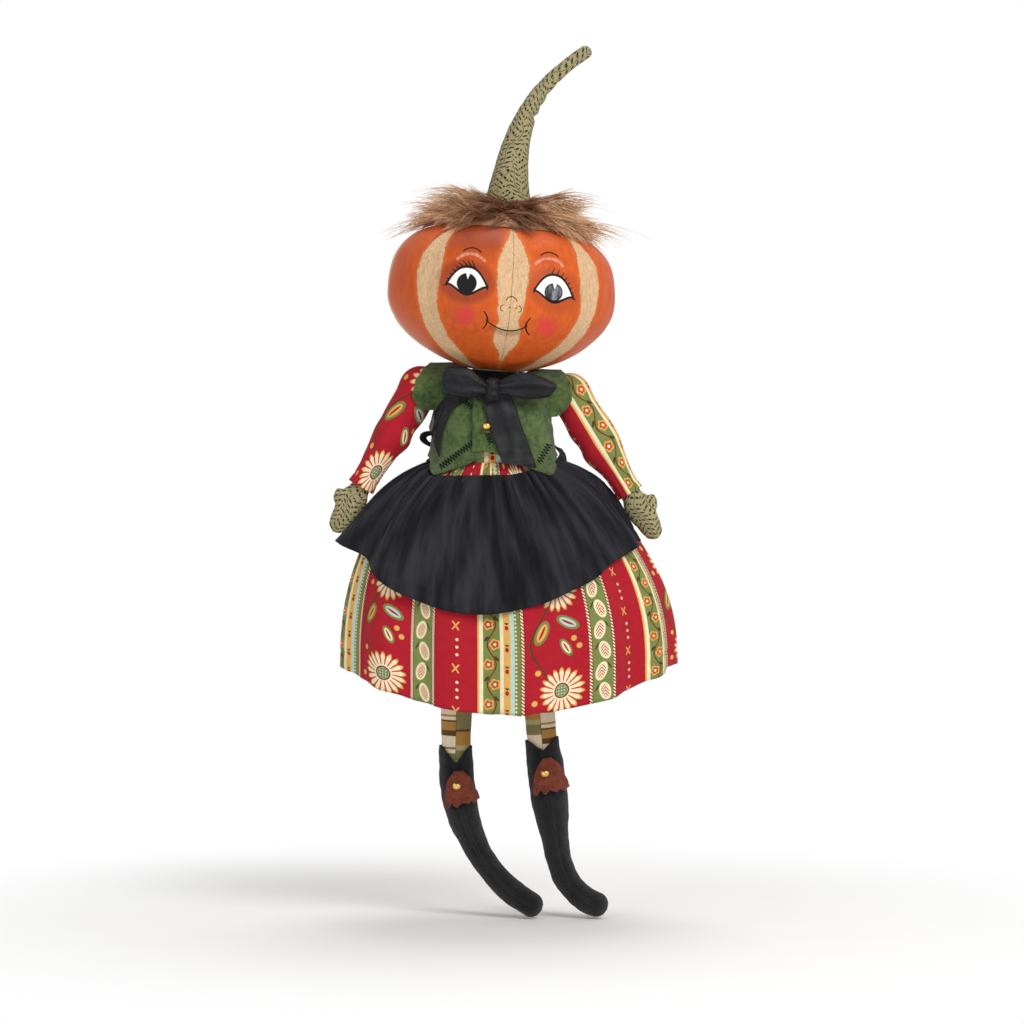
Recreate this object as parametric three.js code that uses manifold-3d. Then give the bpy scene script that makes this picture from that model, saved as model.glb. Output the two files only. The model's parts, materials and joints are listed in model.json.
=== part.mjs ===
// A stuffed cloth doll with a pumpkin head, in millimetres.
// +Z is up and the doll faces -Y. The origin is the middle of the flat seat under the trunk.
// Left and right are as seen from the front, so left is -X.
import * as THREE from "three";
import { mergeVertices } from "three/addons/utils/BufferGeometryUtils.js";
import Module from "manifold-3d";

const wasm = await Module();
wasm.setup();

// Driving dimensions: gaps
const CLEARANCE = 0.4; // between pieces that lie on each other
const RUNNING_GAP = 0.7; // between pieces that turn on each other

// Driving dimensions: trunk and neck
const TRUNK_HEIGHT = 121;
const TRUNK_DEPTH = 46;
const SEAT_WIDTH = 54;
const SADDLE_WIDTH = 22; // of the flat strip between the legs
const HIP_RISE = 2.2; // how far the hips are set up above that strip
const HIP_WIDTH = 70;
const WAIST_WIDTH = 60;
const CHEST_WIDTH = 62;
const COLLAR_WIDTH = 44;
const NECK_WIDTH = 26;
const NECK_RISE = 4.5;
const NECK_PLUG = 14;

// Driving dimensions: head, hair and stem
const HEAD_WIDTH = 132;
const HEAD_DEPTH = 122;
const HEAD_HEIGHT = 86;
const HEAD_SIDESTEP = 4.3;
const HEAD_TILT_DEG = 4.4;
const LOBE_DEPTH = 1.8;
const HAIR_WIDTH = 94;
const HAIR_HEIGHT = 17;
const HAIR_RIM_HEIGHT = 2.5;
const HAIR_TUFT_LENGTH = 3;
const HAIR_SEAT_GAP = 0.9;
const STEM_RISE = 103;
const STEM_LEAN = 38;
const STEM_BASE_WIDTH = 25;
const STEM_TIP_WIDTH = 7.5;

// Driving dimensions: arms
const SHOULDER_HEIGHT = 115;
const SHOULDER_SLOPE = 2;
const SLEEVE_HEAD_WIDTH = 24;
const SLEEVE_LENGTH = 67;
const SLEEVE_WALL = 1.1;
const CUFF_WIDTH = 14;
const HAND_LENGTH = 31;
const HAND_WIDTH = 17.5;
const HAND_DEPTH = 12;
const THUMB_WIDTH = 6.5;
const LEFT_ARM = { name: "left", side: -1, spread: 31, fullness: 20.5 };
const RIGHT_ARM = { name: "right", side: 1, spread: 31.5, fullness: 24 };

// Driving dimensions: clothes
const BODICE_THICKNESS = 1.2;
const WAIST_HEIGHT = 74;
const BAND_HEIGHT = 8;
const BAND_THICKNESS = 1.6;
const SKIRT_THICKNESS = 1.4;
const HEM_WIDTH = 190;
const HEM_SIDESTEP = 8.6;
const HEM_SIDE_DROP = 116;
const HEM_FRONT_DROP = 146;
const FOLD_COUNT = 13;
const FOLD_DEPTH = 3.4;
const APRON_THICKNESS = 1.2;
const APRON_SIDE_DROP = 45;
const APRON_FRONT_DROP = 87;
const APRON_LEFT_FLARE = 20;
const APRON_RIGHT_FLARE = 2;
const VEST_THICKNESS = 2;
const VEST_CENTRE_HEM = 80;
const VEST_POINT_HEM = 67;
const VEST_SIDE_HEM = 77;
const VEST_BACK_HEM = 86;
const VEST_OPENING = 5;
const BUTTON_DIAMETER = 5.2;
const BUTTON_HEIGHT = 95;

// Driving dimensions: ribbons
const RIBBON_WIDTH = 16;
const RIBBON_THICKNESS = 0.9;
const BOW_HEIGHT = 116;
const BOW_LOOP_LENGTH = 32;
const BOW_LOOP_DEPTH = 8;
const KNOT_WIDTH = 9;
const TIE_WIDTH = 12;
const TIE_LOOP_LENGTH = 38;
const TIE_LOOP_DEPTH = 7;
const BOW_LEFT = { name: "left", side: -1, rise: 24, reach: 26, drop: 33, width: 14 };
const BOW_RIGHT = { name: "right", side: 1, rise: 2, reach: 15, drop: 38, width: 18 };
const TIE_LEFT = { name: "left", side: -1, rise: 12, reach: 40, drop: 46, share: 1 };
const TIE_RIGHT = { name: "right", side: 1, rise: 4, reach: 22, drop: 62, share: 0.8 };

// Driving dimensions: legs and boots
const LEG_LENGTH = 106.2;
const THIGH_WIDTH = 20;
const ANKLE_WIDTH = 16;
const BOOT_WIDTH = 20;
const BOOT_DEPTH = 19;
const TOE_WIDTH = 14.5;
const LEG_IN_BOOT = 23;
const NOTCH_DEPTH = 10;
const NOTCH_WIDTH = 12;
const FLAP_LENGTH = 20;
const FLAP_THICKNESS = 1.6;
const BEAD_DIAMETER = 5.2;
const LEFT_LEG = { name: "left", hip: -20, lean: -1, sweep: 43, drop: 92, flapDrop: 14 };
const RIGHT_LEG = { name: "right", hip: 22, lean: 4.5, sweep: 26, drop: 95, flapDrop: 7 };

// Counts of facets
const BODY_SIDES = 32;
const LIMB_SIDES = 14;
const HEAD_SIDES = 40;
const HEAD_RINGS = 16;
const SKIRT_COLUMNS = 30;
const SKIRT_ROWS = 8;

const { lerp, smoothstep, degToRad } = THREE.MathUtils;
const FRONT = -Math.PI / 2;

// Colours of the real materials
const COLOURS = {
  muslin: 0xd9c8a8,
  pumpkin: 0xc65f26,
  fur: 0x8c6446,
  sprigCloth: 0x8f865f,
  print: 0xb22633,
  black: 0x1a1a1c,
  green: 0x48602f,
  organza: 0x141416,
  stripes: 0xcbb98d,
  brown: 0x73381f,
  gold: 0xdcbe78,
};

// Makes a named mesh with its own cloth or metal surface.
function piece(name, geometry, colour, roughness = 0.9, metalness = 0) {
  geometry.computeVertexNormals();
  const material = new THREE.MeshStandardMaterial({ color: colour, roughness, metalness });
  const mesh = new THREE.Mesh(geometry, material);
  mesh.name = name;
  return mesh;
}

// Six times the volume that a triangle list encloses, negative when its faces point in.
function enclosed(points, triangles) {
  let sum = 0;
  for (let i = 0; i < triangles.length; i += 3) {
    const [a, b, c] = [points[triangles[i]], points[triangles[i + 1]], points[triangles[i + 2]]];
    sum += a.dot(new THREE.Vector3().crossVectors(b, c));
  }
  return sum;
}

// A closed geometry from points and triangles, turned so that its faces point out.
function closedGeometry(points, triangles) {
  if (enclosed(points, triangles) < 0) triangles.reverse();
  return new THREE.BufferGeometry().setFromPoints(points).setIndex(triangles);
}

// The two triangles of each cell between two rows of points that are next to each other.
function stitch(triangles, rowA, rowB, count, wraps) {
  const cells = wraps ? count : count - 1;
  for (let i = 0; i < cells; i++) {
    const j = (i + 1) % count;
    triangles.push(rowA + i, rowA + j, rowB + i, rowA + j, rowB + j, rowB + i);
  }
}

// Skins a list of rings. The ends close with a fan, or the last ring joins the first.
function loft(rings, endsMeet = false) {
  const count = rings[0].length;
  const points = rings.flat();
  const triangles = [];
  const last = rings.length - 1;
  for (let r = 0; r < last; r++) stitch(triangles, r * count, (r + 1) * count, count, true);
  if (endsMeet) {
    stitch(triangles, last * count, 0, count, true);
    return closedGeometry(points, triangles);
  }
  const middle = (ring) => ring.reduce((sum, p) => sum.add(p), new THREE.Vector3()).divideScalar(count);
  const start = points.push(middle(rings[0])) - 1;
  const end = points.push(middle(rings[last])) - 1;
  for (let i = 0; i < count; i++) {
    const j = (i + 1) % count;
    triangles.push(start, j, i, end, last * count + i, last * count + j);
  }
  return closedGeometry(points, triangles);
}

// A sheet of even thickness about surface(u, v), with u and v from 0 to 1.
function sheet(surface, columns, rows, thickness) {
  const STEP = 0.004;
  const faces = [[], []];
  for (let r = 0; r <= rows; r++) {
    for (let c = 0; c <= columns; c++) {
      const u = c / columns;
      const v = r / rows;
      const across = surface(Math.min(u + STEP, 1), v).sub(surface(Math.max(u - STEP, 0), v));
      const down = surface(u, Math.min(v + STEP, 1)).sub(surface(u, Math.max(v - STEP, 0)));
      const normal = across.cross(down).normalize().multiplyScalar(thickness / 2);
      faces[0].push(surface(u, v).add(normal));
      faces[1].push(surface(u, v).sub(normal));
    }
  }
  const width = columns + 1;
  const under = faces[0].length;
  const triangles = [];
  for (let r = 0; r < rows; r++) {
    stitch(triangles, r * width, (r + 1) * width, width, false);
    const a = under + r * width;
    stitch(triangles, a + width, a, width, false);
    for (const c of [0, columns]) {
      const [p, q] = [r * width + c, (r + 1) * width + c];
      if (c === 0) triangles.push(p, q, p + under, q, q + under, p + under);
      else triangles.push(q, p, p + under, q, p + under, q + under);
    }
  }
  const bottom = rows * width;
  stitch(triangles, under, 0, width, false);
  stitch(triangles, bottom, under + bottom, width, false);
  return closedGeometry(faces.flat(), triangles);
}

// Turns a closed geometry into a solid that can be joined and cut.
function solid(geometry) {
  const bare = new THREE.BufferGeometry().setAttribute("position", geometry.getAttribute("position"));
  bare.setIndex(geometry.index);
  const merged = mergeVertices(bare, 1e-4);
  return new wasm.Manifold(
    new wasm.Mesh({
      numProp: 3,
      vertProperties: merged.getAttribute("position").array,
      triVerts: new Uint32Array(merged.index.array),
    }),
  );
}

function geometryOf(manifold) {
  const made = manifold.getMesh();
  return new THREE.BufferGeometry()
    .setAttribute("position", new THREE.BufferAttribute(made.vertProperties, made.numProp))
    .setIndex(new THREE.BufferAttribute(made.triVerts, 1));
}

// A value along z through [z, value] stations that are listed upwards.
function along(stations) {
  return (z) => {
    const next = stations.findIndex(([height]) => z <= height);
    if (next === 0) return stations[0][1];
    if (next < 0) return stations[stations.length - 1][1];
    const [z0, v0] = stations[next - 1];
    const [z1, v1] = stations[next];
    return lerp(v0, v1, smoothstep(z, z0, z1));
  };
}

// Level sections that are a little squarer than an ellipse
const SECTION_POWER = 2.2;

function sectionPoint(angle, halfWidth, halfDepth, z, centreX = 0) {
  const c = Math.cos(angle);
  const s = Math.sin(angle);
  const reach = (Math.abs(c) ** SECTION_POWER + Math.abs(s) ** SECTION_POWER) ** (-1 / SECTION_POWER);
  return new THREE.Vector3(centreX + halfWidth * reach * c, halfDepth * reach * s, z);
}

function sectionRing(halfWidth, halfDepth, z, sides = BODY_SIDES) {
  return Array.from({ length: sides }, (_, i) =>
    sectionPoint((i / sides) * 2 * Math.PI, halfWidth, halfDepth, z),
  );
}

// Trunk: half widths and half depths by height
const trunkHalfWidth = along([
  [0, SEAT_WIDTH / 2],
  [TRUNK_HEIGHT * 0.07, HIP_WIDTH / 2 - 1],
  [TRUNK_HEIGHT * 0.22, HIP_WIDTH / 2],
  [WAIST_HEIGHT, WAIST_WIDTH / 2],
  [TRUNK_HEIGHT * 0.84, CHEST_WIDTH / 2],
  [TRUNK_HEIGHT, COLLAR_WIDTH / 2],
]);
const trunkHalfDepth = (z) => (trunkHalfWidth(z) * TRUNK_DEPTH) / CHEST_WIDTH;

function trunk() {
  const shares = [0, 0.03, 0.07, 0.14, 0.24, 0.36, 0.48, 0.6, 0.72, 0.82, 0.9, 0.96, 1];
  const rings = shares.map((share) => {
    const z = share * TRUNK_HEIGHT;
    return sectionRing(trunkHalfWidth(z), trunkHalfDepth(z), z);
  });
  const hips = [-1, 1].map((side) => {
    const block = new THREE.BoxGeometry(HIP_WIDTH, HIP_WIDTH, HIP_RISE * 2);
    return solid(block.translate((side * (SADDLE_WIDTH + HIP_WIDTH)) / 2, 0, 0));
  });
  const shape = solid(loft(rings)).subtract(hips[0]).subtract(hips[1]);
  return piece("trunk", geometryOf(shape), COLOURS.muslin);
}

// Offsets of each layer's middle and outside from the trunk
const bodiceMiddle = CLEARANCE + BODICE_THICKNESS / 2;
const bodiceOutside = CLEARANCE + BODICE_THICKNESS;
const skirtMiddle = bodiceOutside + CLEARANCE + SKIRT_THICKNESS / 2;
const bandMiddle = bodiceOutside + CLEARANCE + BAND_THICKNESS / 2;
const bandFoot = WAIST_HEIGHT + SKIRT_THICKNESS / 2 + CLEARANCE;

// A tube of cloth round the trunk, from its lower to its upper edge.
function trunkTube(middle, thickness, heights) {
  const ring = (offset) => (z) => sectionRing(trunkHalfWidth(z) + offset, trunkHalfDepth(z) + offset, z);
  const outer = heights.map(ring(middle + thickness / 2));
  const inner = heights.map(ring(middle - thickness / 2)).reverse();
  return loft([...outer, ...inner], true);
}

function bodice() {
  const lower = WAIST_HEIGHT - 6;
  const upper = TRUNK_HEIGHT - 5;
  const heights = [0, 0.16, 0.4, 0.64, 0.84, 1].map((share) => lerp(lower, upper, share));
  return piece("dress_bodice", trunkTube(bodiceMiddle, BODICE_THICKNESS, heights), COLOURS.print);
}

// Head: a squat pumpkin with a full crown, a rounder chin and seams between soft lobes
const CROWN_POWER = 2.9;
const CHIN_POWER = 1.85;
const LOBES = 8;
const headSquash = HEAD_DEPTH / HEAD_WIDTH;
const headPower = (z) => (z > 0 ? CROWN_POWER : CHIN_POWER);
const headHalf = HEAD_HEIGHT / 2;
const crownFlat = headHalf * 0.96; // height of the flat that the stem stands on
const headTilt = degToRad(HEAD_TILT_DEG);
const headCentre = new THREE.Vector3(HEAD_SIDESTEP, 0, TRUNK_HEIGHT + NECK_RISE + headHalf);

// The reach of the head at its girth: each seam draws the cloth in.
function headReach(angle) {
  const toSeam = Math.abs(Math.sin(((angle - FRONT) * LOBES) / 2));
  return HEAD_WIDTH / 2 - LOBE_DEPTH * (1 - toSeam) ** 2;
}

function headPoint(angle, z) {
  const power = headPower(z);
  const share = (1 - (Math.abs(z) / headHalf) ** power) ** (1 / power);
  const reach = headReach(angle) * share;
  return new THREE.Vector3(reach * Math.cos(angle), reach * headSquash * Math.sin(angle), z);
}

// The height of the crown over a point at a given reach from the axis.
function crownHeight(angle, reach) {
  const share = Math.min(reach / headReach(angle), 1);
  return headHalf * (1 - share ** CROWN_POWER) ** (1 / CROWN_POWER);
}

// A round bar along z with as many sides as a limb.
function bar(radius, z0, z1) {
  const rod = new THREE.CylinderGeometry(radius, radius, z1 - z0, BODY_SIDES);
  return rod.rotateX(Math.PI / 2).translate(0, 0, (z0 + z1) / 2);
}

const neckRadius = NECK_WIDTH / 2;

function head() {
  const rings = [];
  for (let r = 1; r < HEAD_RINGS; r++) {
    const z = -headHalf * Math.cos((r / HEAD_RINGS) * Math.PI);
    rings.push(Array.from({ length: HEAD_SIDES }, (_, i) => headPoint((i / HEAD_SIDES) * 2 * Math.PI, z)));
  }
  const socket = bar(neckRadius + RUNNING_GAP, -headHalf - NECK_RISE, -headHalf + NECK_PLUG + RUNNING_GAP);
  const seat = bar(STEM_BASE_WIDTH, crownFlat, HEAD_HEIGHT);
  const shape = solid(loft(rings)).subtract(solid(socket)).subtract(solid(seat));
  return piece("head", geometryOf(shape), COLOURS.pumpkin, 0.55);
}

const stemSeat = crownFlat + CLEARANCE;

// The fur lies on the crown round the stem, thick by the stem and thin at its ragged rim.
function hair() {
  const inside = (STEM_BASE_WIDTH / 2 + CLEARANCE) / headSquash;
  const TUFTS = 20;
  const SPANS = 4;
  const lower = [];
  const upper = [];
  for (let s = 0; s <= SPANS; s++) {
    const share = s / SPANS;
    const ringAt = (rise) =>
      Array.from({ length: TUFTS * 2 }, (_, i) => {
        const angle = (i / (TUFTS * 2)) * 2 * Math.PI;
        const rim = HAIR_WIDTH / 2 + (i % 2 ? HAIR_TUFT_LENGTH : -HAIR_TUFT_LENGTH);
        const reach = lerp(inside, rim, share);
        const floor = Math.max(Math.min(crownHeight(angle, reach), crownFlat), headHalf / 2);
        const z = floor + HAIR_SEAT_GAP + rise;
        return new THREE.Vector3(reach * Math.cos(angle), reach * headSquash * Math.sin(angle), z);
      });
    lower.push(ringAt(0));
    upper.push(ringAt(lerp(HAIR_HEIGHT, HAIR_RIM_HEIGHT, share ** 1.4)));
  }
  return piece("hair_tuft", loft([...lower, ...upper.reverse()], true), COLOURS.fur, 1);
}

// The stem stands straight on the crown and hooks over to the right near its tip.
function stem() {
  const HOOK_POWER = 3.6;
  const RINGS = 13;
  const centre = (t) => new THREE.Vector3(STEM_LEAN * t ** HOOK_POWER, 0, stemSeat + STEM_RISE * t);
  const radius = (t) => lerp(STEM_TIP_WIDTH, STEM_BASE_WIDTH, (1 - t) ** 2) / 2;
  const stations = Array.from({ length: RINGS }, (_, r) => 1 - (1 - r / (RINGS - 1)) ** 1.3);
  const rings = pathRings(centre, radius, radius, stations, LIMB_SIDES);
  return piece("stem", loft([...rings, ...dome(rings)]), COLOURS.sprigCloth);
}

// Rings square to a path that lies in a plane y = constant.
function pathRings(centre, halfWidth, halfDepth, stations, sides) {
  const STEP = 0.002;
  return stations.map((t) => {
    const ahead = centre(Math.min(t + STEP, 1));
    const tangent = ahead.sub(centre(Math.max(t - STEP, 0))).normalize();
    const across = new THREE.Vector3(-tangent.z, 0, tangent.x);
    return Array.from({ length: sides }, (_, i) => {
      const angle = (i / sides) * 2 * Math.PI;
      const point = centre(t).addScaledVector(across, -halfWidth(t) * Math.cos(angle));
      return point.add(new THREE.Vector3(0, halfDepth(t) * Math.sin(angle), 0));
    });
  });
}

// Two smaller rings that round off the end of a limb, as far out as the limb is thick there.
function dome(rings) {
  const end = rings[rings.length - 1];
  const before = rings[rings.length - 2];
  const sum = (ring) => ring.reduce((total, p) => total.add(p), new THREE.Vector3());
  const middle = (ring) => sum(ring).divideScalar(ring.length);
  const centre = middle(end);
  const outward = middle(end).sub(middle(before)).normalize();
  const reach = end[0].distanceTo(centre);
  return [40, 72].map((degrees) => {
    const turn = degToRad(degrees);
    return end.map((p) =>
      p
        .clone()
        .sub(centre)
        .multiplyScalar(Math.cos(turn))
        .add(centre)
        .addScaledVector(outward, reach * Math.sin(turn)),
    );
  });
}

function neck() {
  const lower = -headHalf - NECK_RISE + CLEARANCE + 1.2;
  return piece("neck", bar(neckRadius, lower, -headHalf + NECK_PLUG), COLOURS.muslin);
}

// Arm: the stuffed limb with its mitten hand runs inside a gathered sleeve, down the arm's own -Z
const sleeveHead = SLEEVE_HEAD_WIDTH / 2;

function sleeveRadius(arm) {
  const cuff = CUFF_WIDTH / 2;
  return along([
    [-SLEEVE_LENGTH, cuff + 0.8],
    [-SLEEVE_LENGTH * 0.9, cuff],
    [-SLEEVE_LENGTH * 0.45, arm.fullness / 2],
    [-SLEEVE_LENGTH * 0.15, sleeveHead * 0.92],
    [0, sleeveHead],
  ]);
}

// The head of a sleeve or an arm is half a ball: [radius, z] pairs from its pole down to its middle.
function ballProfile(radius) {
  const STEPS = 4;
  return Array.from({ length: STEPS }, (_, i) => {
    const turn = (i / STEPS) * (Math.PI / 2);
    return [radius * Math.sin(turn), radius * Math.cos(turn)];
  });
}

const sleeveStations = [0, 0.15, 0.3, 0.45, 0.6, 0.75, 0.9, 1].map((share) => -share * SLEEVE_LENGTH);

function sleeve(arm) {
  const radius = sleeveRadius(arm);
  const outer = [...ballProfile(sleeveHead), ...sleeveStations.map((z) => [radius(z), z])];
  const lining = (z) => radius(z) - SLEEVE_WALL;
  const inner = [...ballProfile(sleeveHead - SLEEVE_WALL), ...sleeveStations.map((z) => [lining(z), z])];
  const outline = [...outer, ...inner.reverse()].map(([r, z]) => new THREE.Vector2(r, z));
  const shape = new THREE.LatheGeometry(outline.reverse(), LIMB_SIDES + 2).rotateX(Math.PI / 2);
  return piece(`${arm.name}_sleeve`, geometryOf(solid(shape)), COLOURS.print);
}

function armAndHand(arm) {
  const radius = sleeveRadius(arm);
  const gap = SLEEVE_WALL + CLEARANCE;
  const wrist = CUFF_WIDTH / 2 - gap;
  const ringAt = (halfWidth, halfDepth, z) =>
    Array.from({ length: LIMB_SIDES }, (_, i) => {
      const angle = (i / LIMB_SIDES) * 2 * Math.PI;
      return new THREE.Vector3(halfWidth * Math.cos(angle), halfDepth * Math.sin(angle), z);
    });
  const ball = ballProfile(sleeveHead - gap).slice(1);
  const limb = sleeveStations.map((z) => [Math.min(radius(z) - gap, radius(z) * 0.9), z]);
  limb[limb.length - 1][0] = wrist;
  const rings = [...ball, ...limb].map(([r, z]) => ringAt(r * 0.98, r * 0.98, z));
  const palm = [
    [0.18, 0.84],
    [0.42, 1],
    [0.7, 0.92],
    [0.9, 0.62],
    [0.98, 0.3],
  ];
  for (const [share, width] of palm) {
    const z = -SLEEVE_LENGTH - share * HAND_LENGTH;
    rings.push(ringAt((width * HAND_WIDTH) / 2, (width * HAND_DEPTH) / 2, z));
  }
  const thumb = new THREE.CapsuleGeometry(THUMB_WIDTH / 2, HAND_LENGTH * 0.28, 3, 8);
  thumb.rotateX(Math.PI / 2).rotateY(degToRad(arm.side * -32));
  thumb.translate(arm.side * HAND_WIDTH * 0.46, 0, -SLEEVE_LENGTH - HAND_LENGTH * 0.34);
  const shape = solid(loft(rings)).add(solid(thumb));
  return piece(`${arm.name}_arm`, geometryOf(shape), COLOURS.sprigCloth);
}

// The sleeve head stands clear of the bodice by the gap that lets it turn.
function shoulderPoint(arm) {
  const z = SHOULDER_HEIGHT - arm.side * SHOULDER_SLOPE;
  const x = trunkHalfWidth(z - sleeveHead * 0.6) + bodiceOutside + RUNNING_GAP + sleeveHead;
  return new THREE.Vector3(arm.side * x, 0, z);
}

function armGroup(arm) {
  const group = new THREE.Group();
  group.position.copy(shoulderPoint(arm));
  group.rotation.y = degToRad(-arm.side * arm.spread);
  group.add(sleeve(arm), armAndHand(arm));
  return group;
}

// Skirt: a gathered bell that falls in soft folds, fuller to the right, lowest in front and behind
const skirtWaist = WAIST_WIDTH / 2 + skirtMiddle;
const skirtFlat = 0.6; // depth of the bell as a share of its width
const BELL_POWER = 2.4;

function skirtSection(z) {
  const share = Math.max(WAIST_HEIGHT - z, 0) / HEM_SIDE_DROP;
  const bell = 1 - Math.max(1 - share, 0) ** BELL_POWER;
  const halfWidth = lerp(skirtWaist, HEM_WIDTH / 2, bell);
  const waistDepth = (WAIST_WIDTH / 2) * (TRUNK_DEPTH / CHEST_WIDTH) + skirtMiddle;
  const halfDepth = waistDepth + (halfWidth - skirtWaist) * skirtFlat;
  return { halfWidth, halfDepth, bell, centreX: HEM_SIDESTEP * bell ** 2 };
}

// How far a fold stands out from the bell: one row of main folds with a slower swell.
function fold(angle, bell) {
  const main = Math.cos(angle * FOLD_COUNT);
  const swell = Math.cos(angle * 5 + 1);
  return FOLD_DEPTH * bell ** 2 * (0.7 * main + 0.3 * swell);
}

function skirtPoint(angle, z, offset) {
  const { halfWidth, halfDepth, bell, centreX } = skirtSection(z);
  const out = offset + fold(angle, bell);
  return sectionPoint(angle, halfWidth + out, halfDepth + out, z, centreX);
}

// The bell grown by an offset, to keep other layers clear of it.
function skirtBlock(offset) {
  const ROWS = 12;
  const floor = WAIST_HEIGHT - HEM_FRONT_DROP;
  const rings = Array.from({ length: ROWS + 1 }, (_, r) => {
    const share = r / ROWS;
    const z = lerp(WAIST_HEIGHT, floor, share ** 1.5);
    const lift = new THREE.Vector3(0, 0, offset * (1 - share) ** 2);
    const turn = Math.PI / SKIRT_COLUMNS;
    return Array.from({ length: SKIRT_COLUMNS * 2 }, (_, i) => skirtPoint(i * turn, z, offset).add(lift));
  });
  return solid(loft(rings));
}

// The hem hangs lowest at the front and the back and rises to the side seams.
function hemHeight(angle, sideDrop, frontDrop) {
  return WAIST_HEIGHT - lerp(sideDrop, frontDrop, Math.sin(angle) ** 2);
}

function skirtPanel(name, from) {
  const seam = (CLEARANCE * 1.5) / HEM_WIDTH;
  const surface = (u, v) => {
    const angle = lerp(from + seam, from + Math.PI - seam, u);
    const hem = hemHeight(angle, HEM_SIDE_DROP, HEM_FRONT_DROP);
    return skirtPoint(angle, lerp(WAIST_HEIGHT, hem, v ** 1.5), 0);
  };
  return piece(name, sheet(surface, SKIRT_COLUMNS, SKIRT_ROWS, SKIRT_THICKNESS), COLOURS.print);
}

// Apron: lies on the front of the skirt in the same folds, and its two corners flare out
const apronOffset = SKIRT_THICKNESS / 2 + CLEARANCE * 2.5 + APRON_THICKNESS / 2;

function apron() {
  const COLUMNS = SKIRT_COLUMNS - 2;
  const HALF_WRAP = ((COLUMNS / 2) * Math.PI) / SKIRT_COLUMNS;
  const ROWS = 8;
  const surface = (u, v) => {
    const turn = lerp(-1, 1, u);
    const angle = FRONT + turn * HALF_WRAP;
    const hem = hemHeight(angle, APRON_SIDE_DROP, APRON_FRONT_DROP);
    const z = lerp(WAIST_HEIGHT - CLEARANCE, hem, v ** 1.5);
    const corner = turn < 0 ? APRON_LEFT_FLARE : APRON_RIGHT_FLARE;
    const flare = corner * Math.abs(turn) ** 6 * v ** 3;
    return skirtPoint(angle, z, apronOffset + flare);
  };
  const cloth = solid(sheet(surface, COLUMNS, ROWS, APRON_THICKNESS));
  const laid = cloth.subtract(skirtBlock(SKIRT_THICKNESS / 2 + CLEARANCE));
  return piece("apron", geometryOf(laid), COLOURS.black);
}

function waistband() {
  const heights = [bandFoot, bandFoot + BAND_HEIGHT];
  return piece("apron_waistband", trunkTube(bandMiddle, BAND_THICKNESS, heights), COLOURS.black);
}

// Vest: three felt panels, each with its half of the cap over the shoulder
function vestSection(z) {
  const overBodice = bodiceOutside + CLEARANCE * 2 + VEST_THICKNESS / 2;
  const overBand = bandMiddle + BAND_THICKNESS / 2 + CLEARANCE * 2 + VEST_THICKNESS / 2;
  const bandTop = bandFoot + BAND_HEIGHT;
  const offset = lerp(overBand, overBodice, smoothstep(z, bandTop, bandTop + BAND_HEIGHT));
  const skirt = skirtSection(z);
  const overApron = apronOffset + APRON_THICKNESS / 2 + CLEARANCE * 3 + VEST_THICKNESS / 2;
  const flare = 1 - smoothstep(z, WAIST_HEIGHT + CLEARANCE * 2, bandTop);
  return {
    halfWidth: lerp(trunkHalfWidth(z) + offset, skirt.halfWidth + overApron, flare),
    halfDepth: lerp(trunkHalfDepth(z) + offset, skirt.halfDepth + overApron, flare),
    centreX: skirt.centreX,
  };
}

function vestPoint(angle, z) {
  const { halfWidth, halfDepth, centreX } = vestSection(z);
  return sectionPoint(angle, halfWidth, halfDepth, z, centreX);
}

const overApronKeep = apronOffset + APRON_THICKNESS / 2 + CLEARANCE;

const vestTop = TRUNK_HEIGHT - CLEARANCE;
const capRadius = sleeveHead + RUNNING_GAP + VEST_THICKNESS / 2;
const CAP_TOP_REACH = -1; // how far the cap reaches out past the middle of the sleeve head, at its top
const CAP_SIDE_REACH = 5.5; // and at its front and back
const CAP_UNDERSIDE = degToRad(-24); // how far the cap wraps under the sleeve head

// The front or back half of the cap: it wraps the sleeve head from just under its side to its top.
function cap(arm, facing) {
  const pivot = shoulderPoint(arm);
  const inside = Math.abs(pivot.x) - sleeveHead - VEST_THICKNESS * 1.6;
  const surface = (u, v) => {
    const turn = lerp(CAP_UNDERSIDE, Math.PI / 2 - 0.02, u);
    const rounding = Math.cos(turn) ** 0.7 - Math.max(-turn, 0);
    const outside = Math.abs(pivot.x) + lerp(CAP_TOP_REACH, CAP_SIDE_REACH, rounding);
    const x = arm.side * lerp(inside, outside, v);
    const depth = facing * capRadius * Math.cos(turn);
    return new THREE.Vector3(x, depth, pivot.z + capRadius * Math.sin(turn));
  };
  return solid(sheet(surface, 7, 4, VEST_THICKNESS)).subtract(bodyBlock());
}

// The clothed trunk grown by a gap, to keep the felt clear of it.
function bodyBlock() {
  const offset = bodiceOutside + CLEARANCE;
  const heights = [0.5, 0.58, 0.66, 0.74, 0.82, 0.9, 0.96, 1].map((share) => share * TRUNK_HEIGHT);
  const rings = heights.map((z) => sectionRing(trunkHalfWidth(z) + offset, trunkHalfDepth(z) + offset, z));
  return solid(loft(rings));
}

// The angle, from the middle of the front or back, at which the panel meets the cap.
function armholeTurn(z) {
  const { halfDepth } = vestSection(z);
  const share = Math.min(capRadius / halfDepth, 1);
  const open = Math.acos(share) + 0.12;
  const underarm = SHOULDER_HEIGHT - SHOULDER_SLOPE - capRadius * 1.15;
  return lerp(Math.PI / 2, open, smoothstep(z, underarm - 6, underarm));
}

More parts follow.
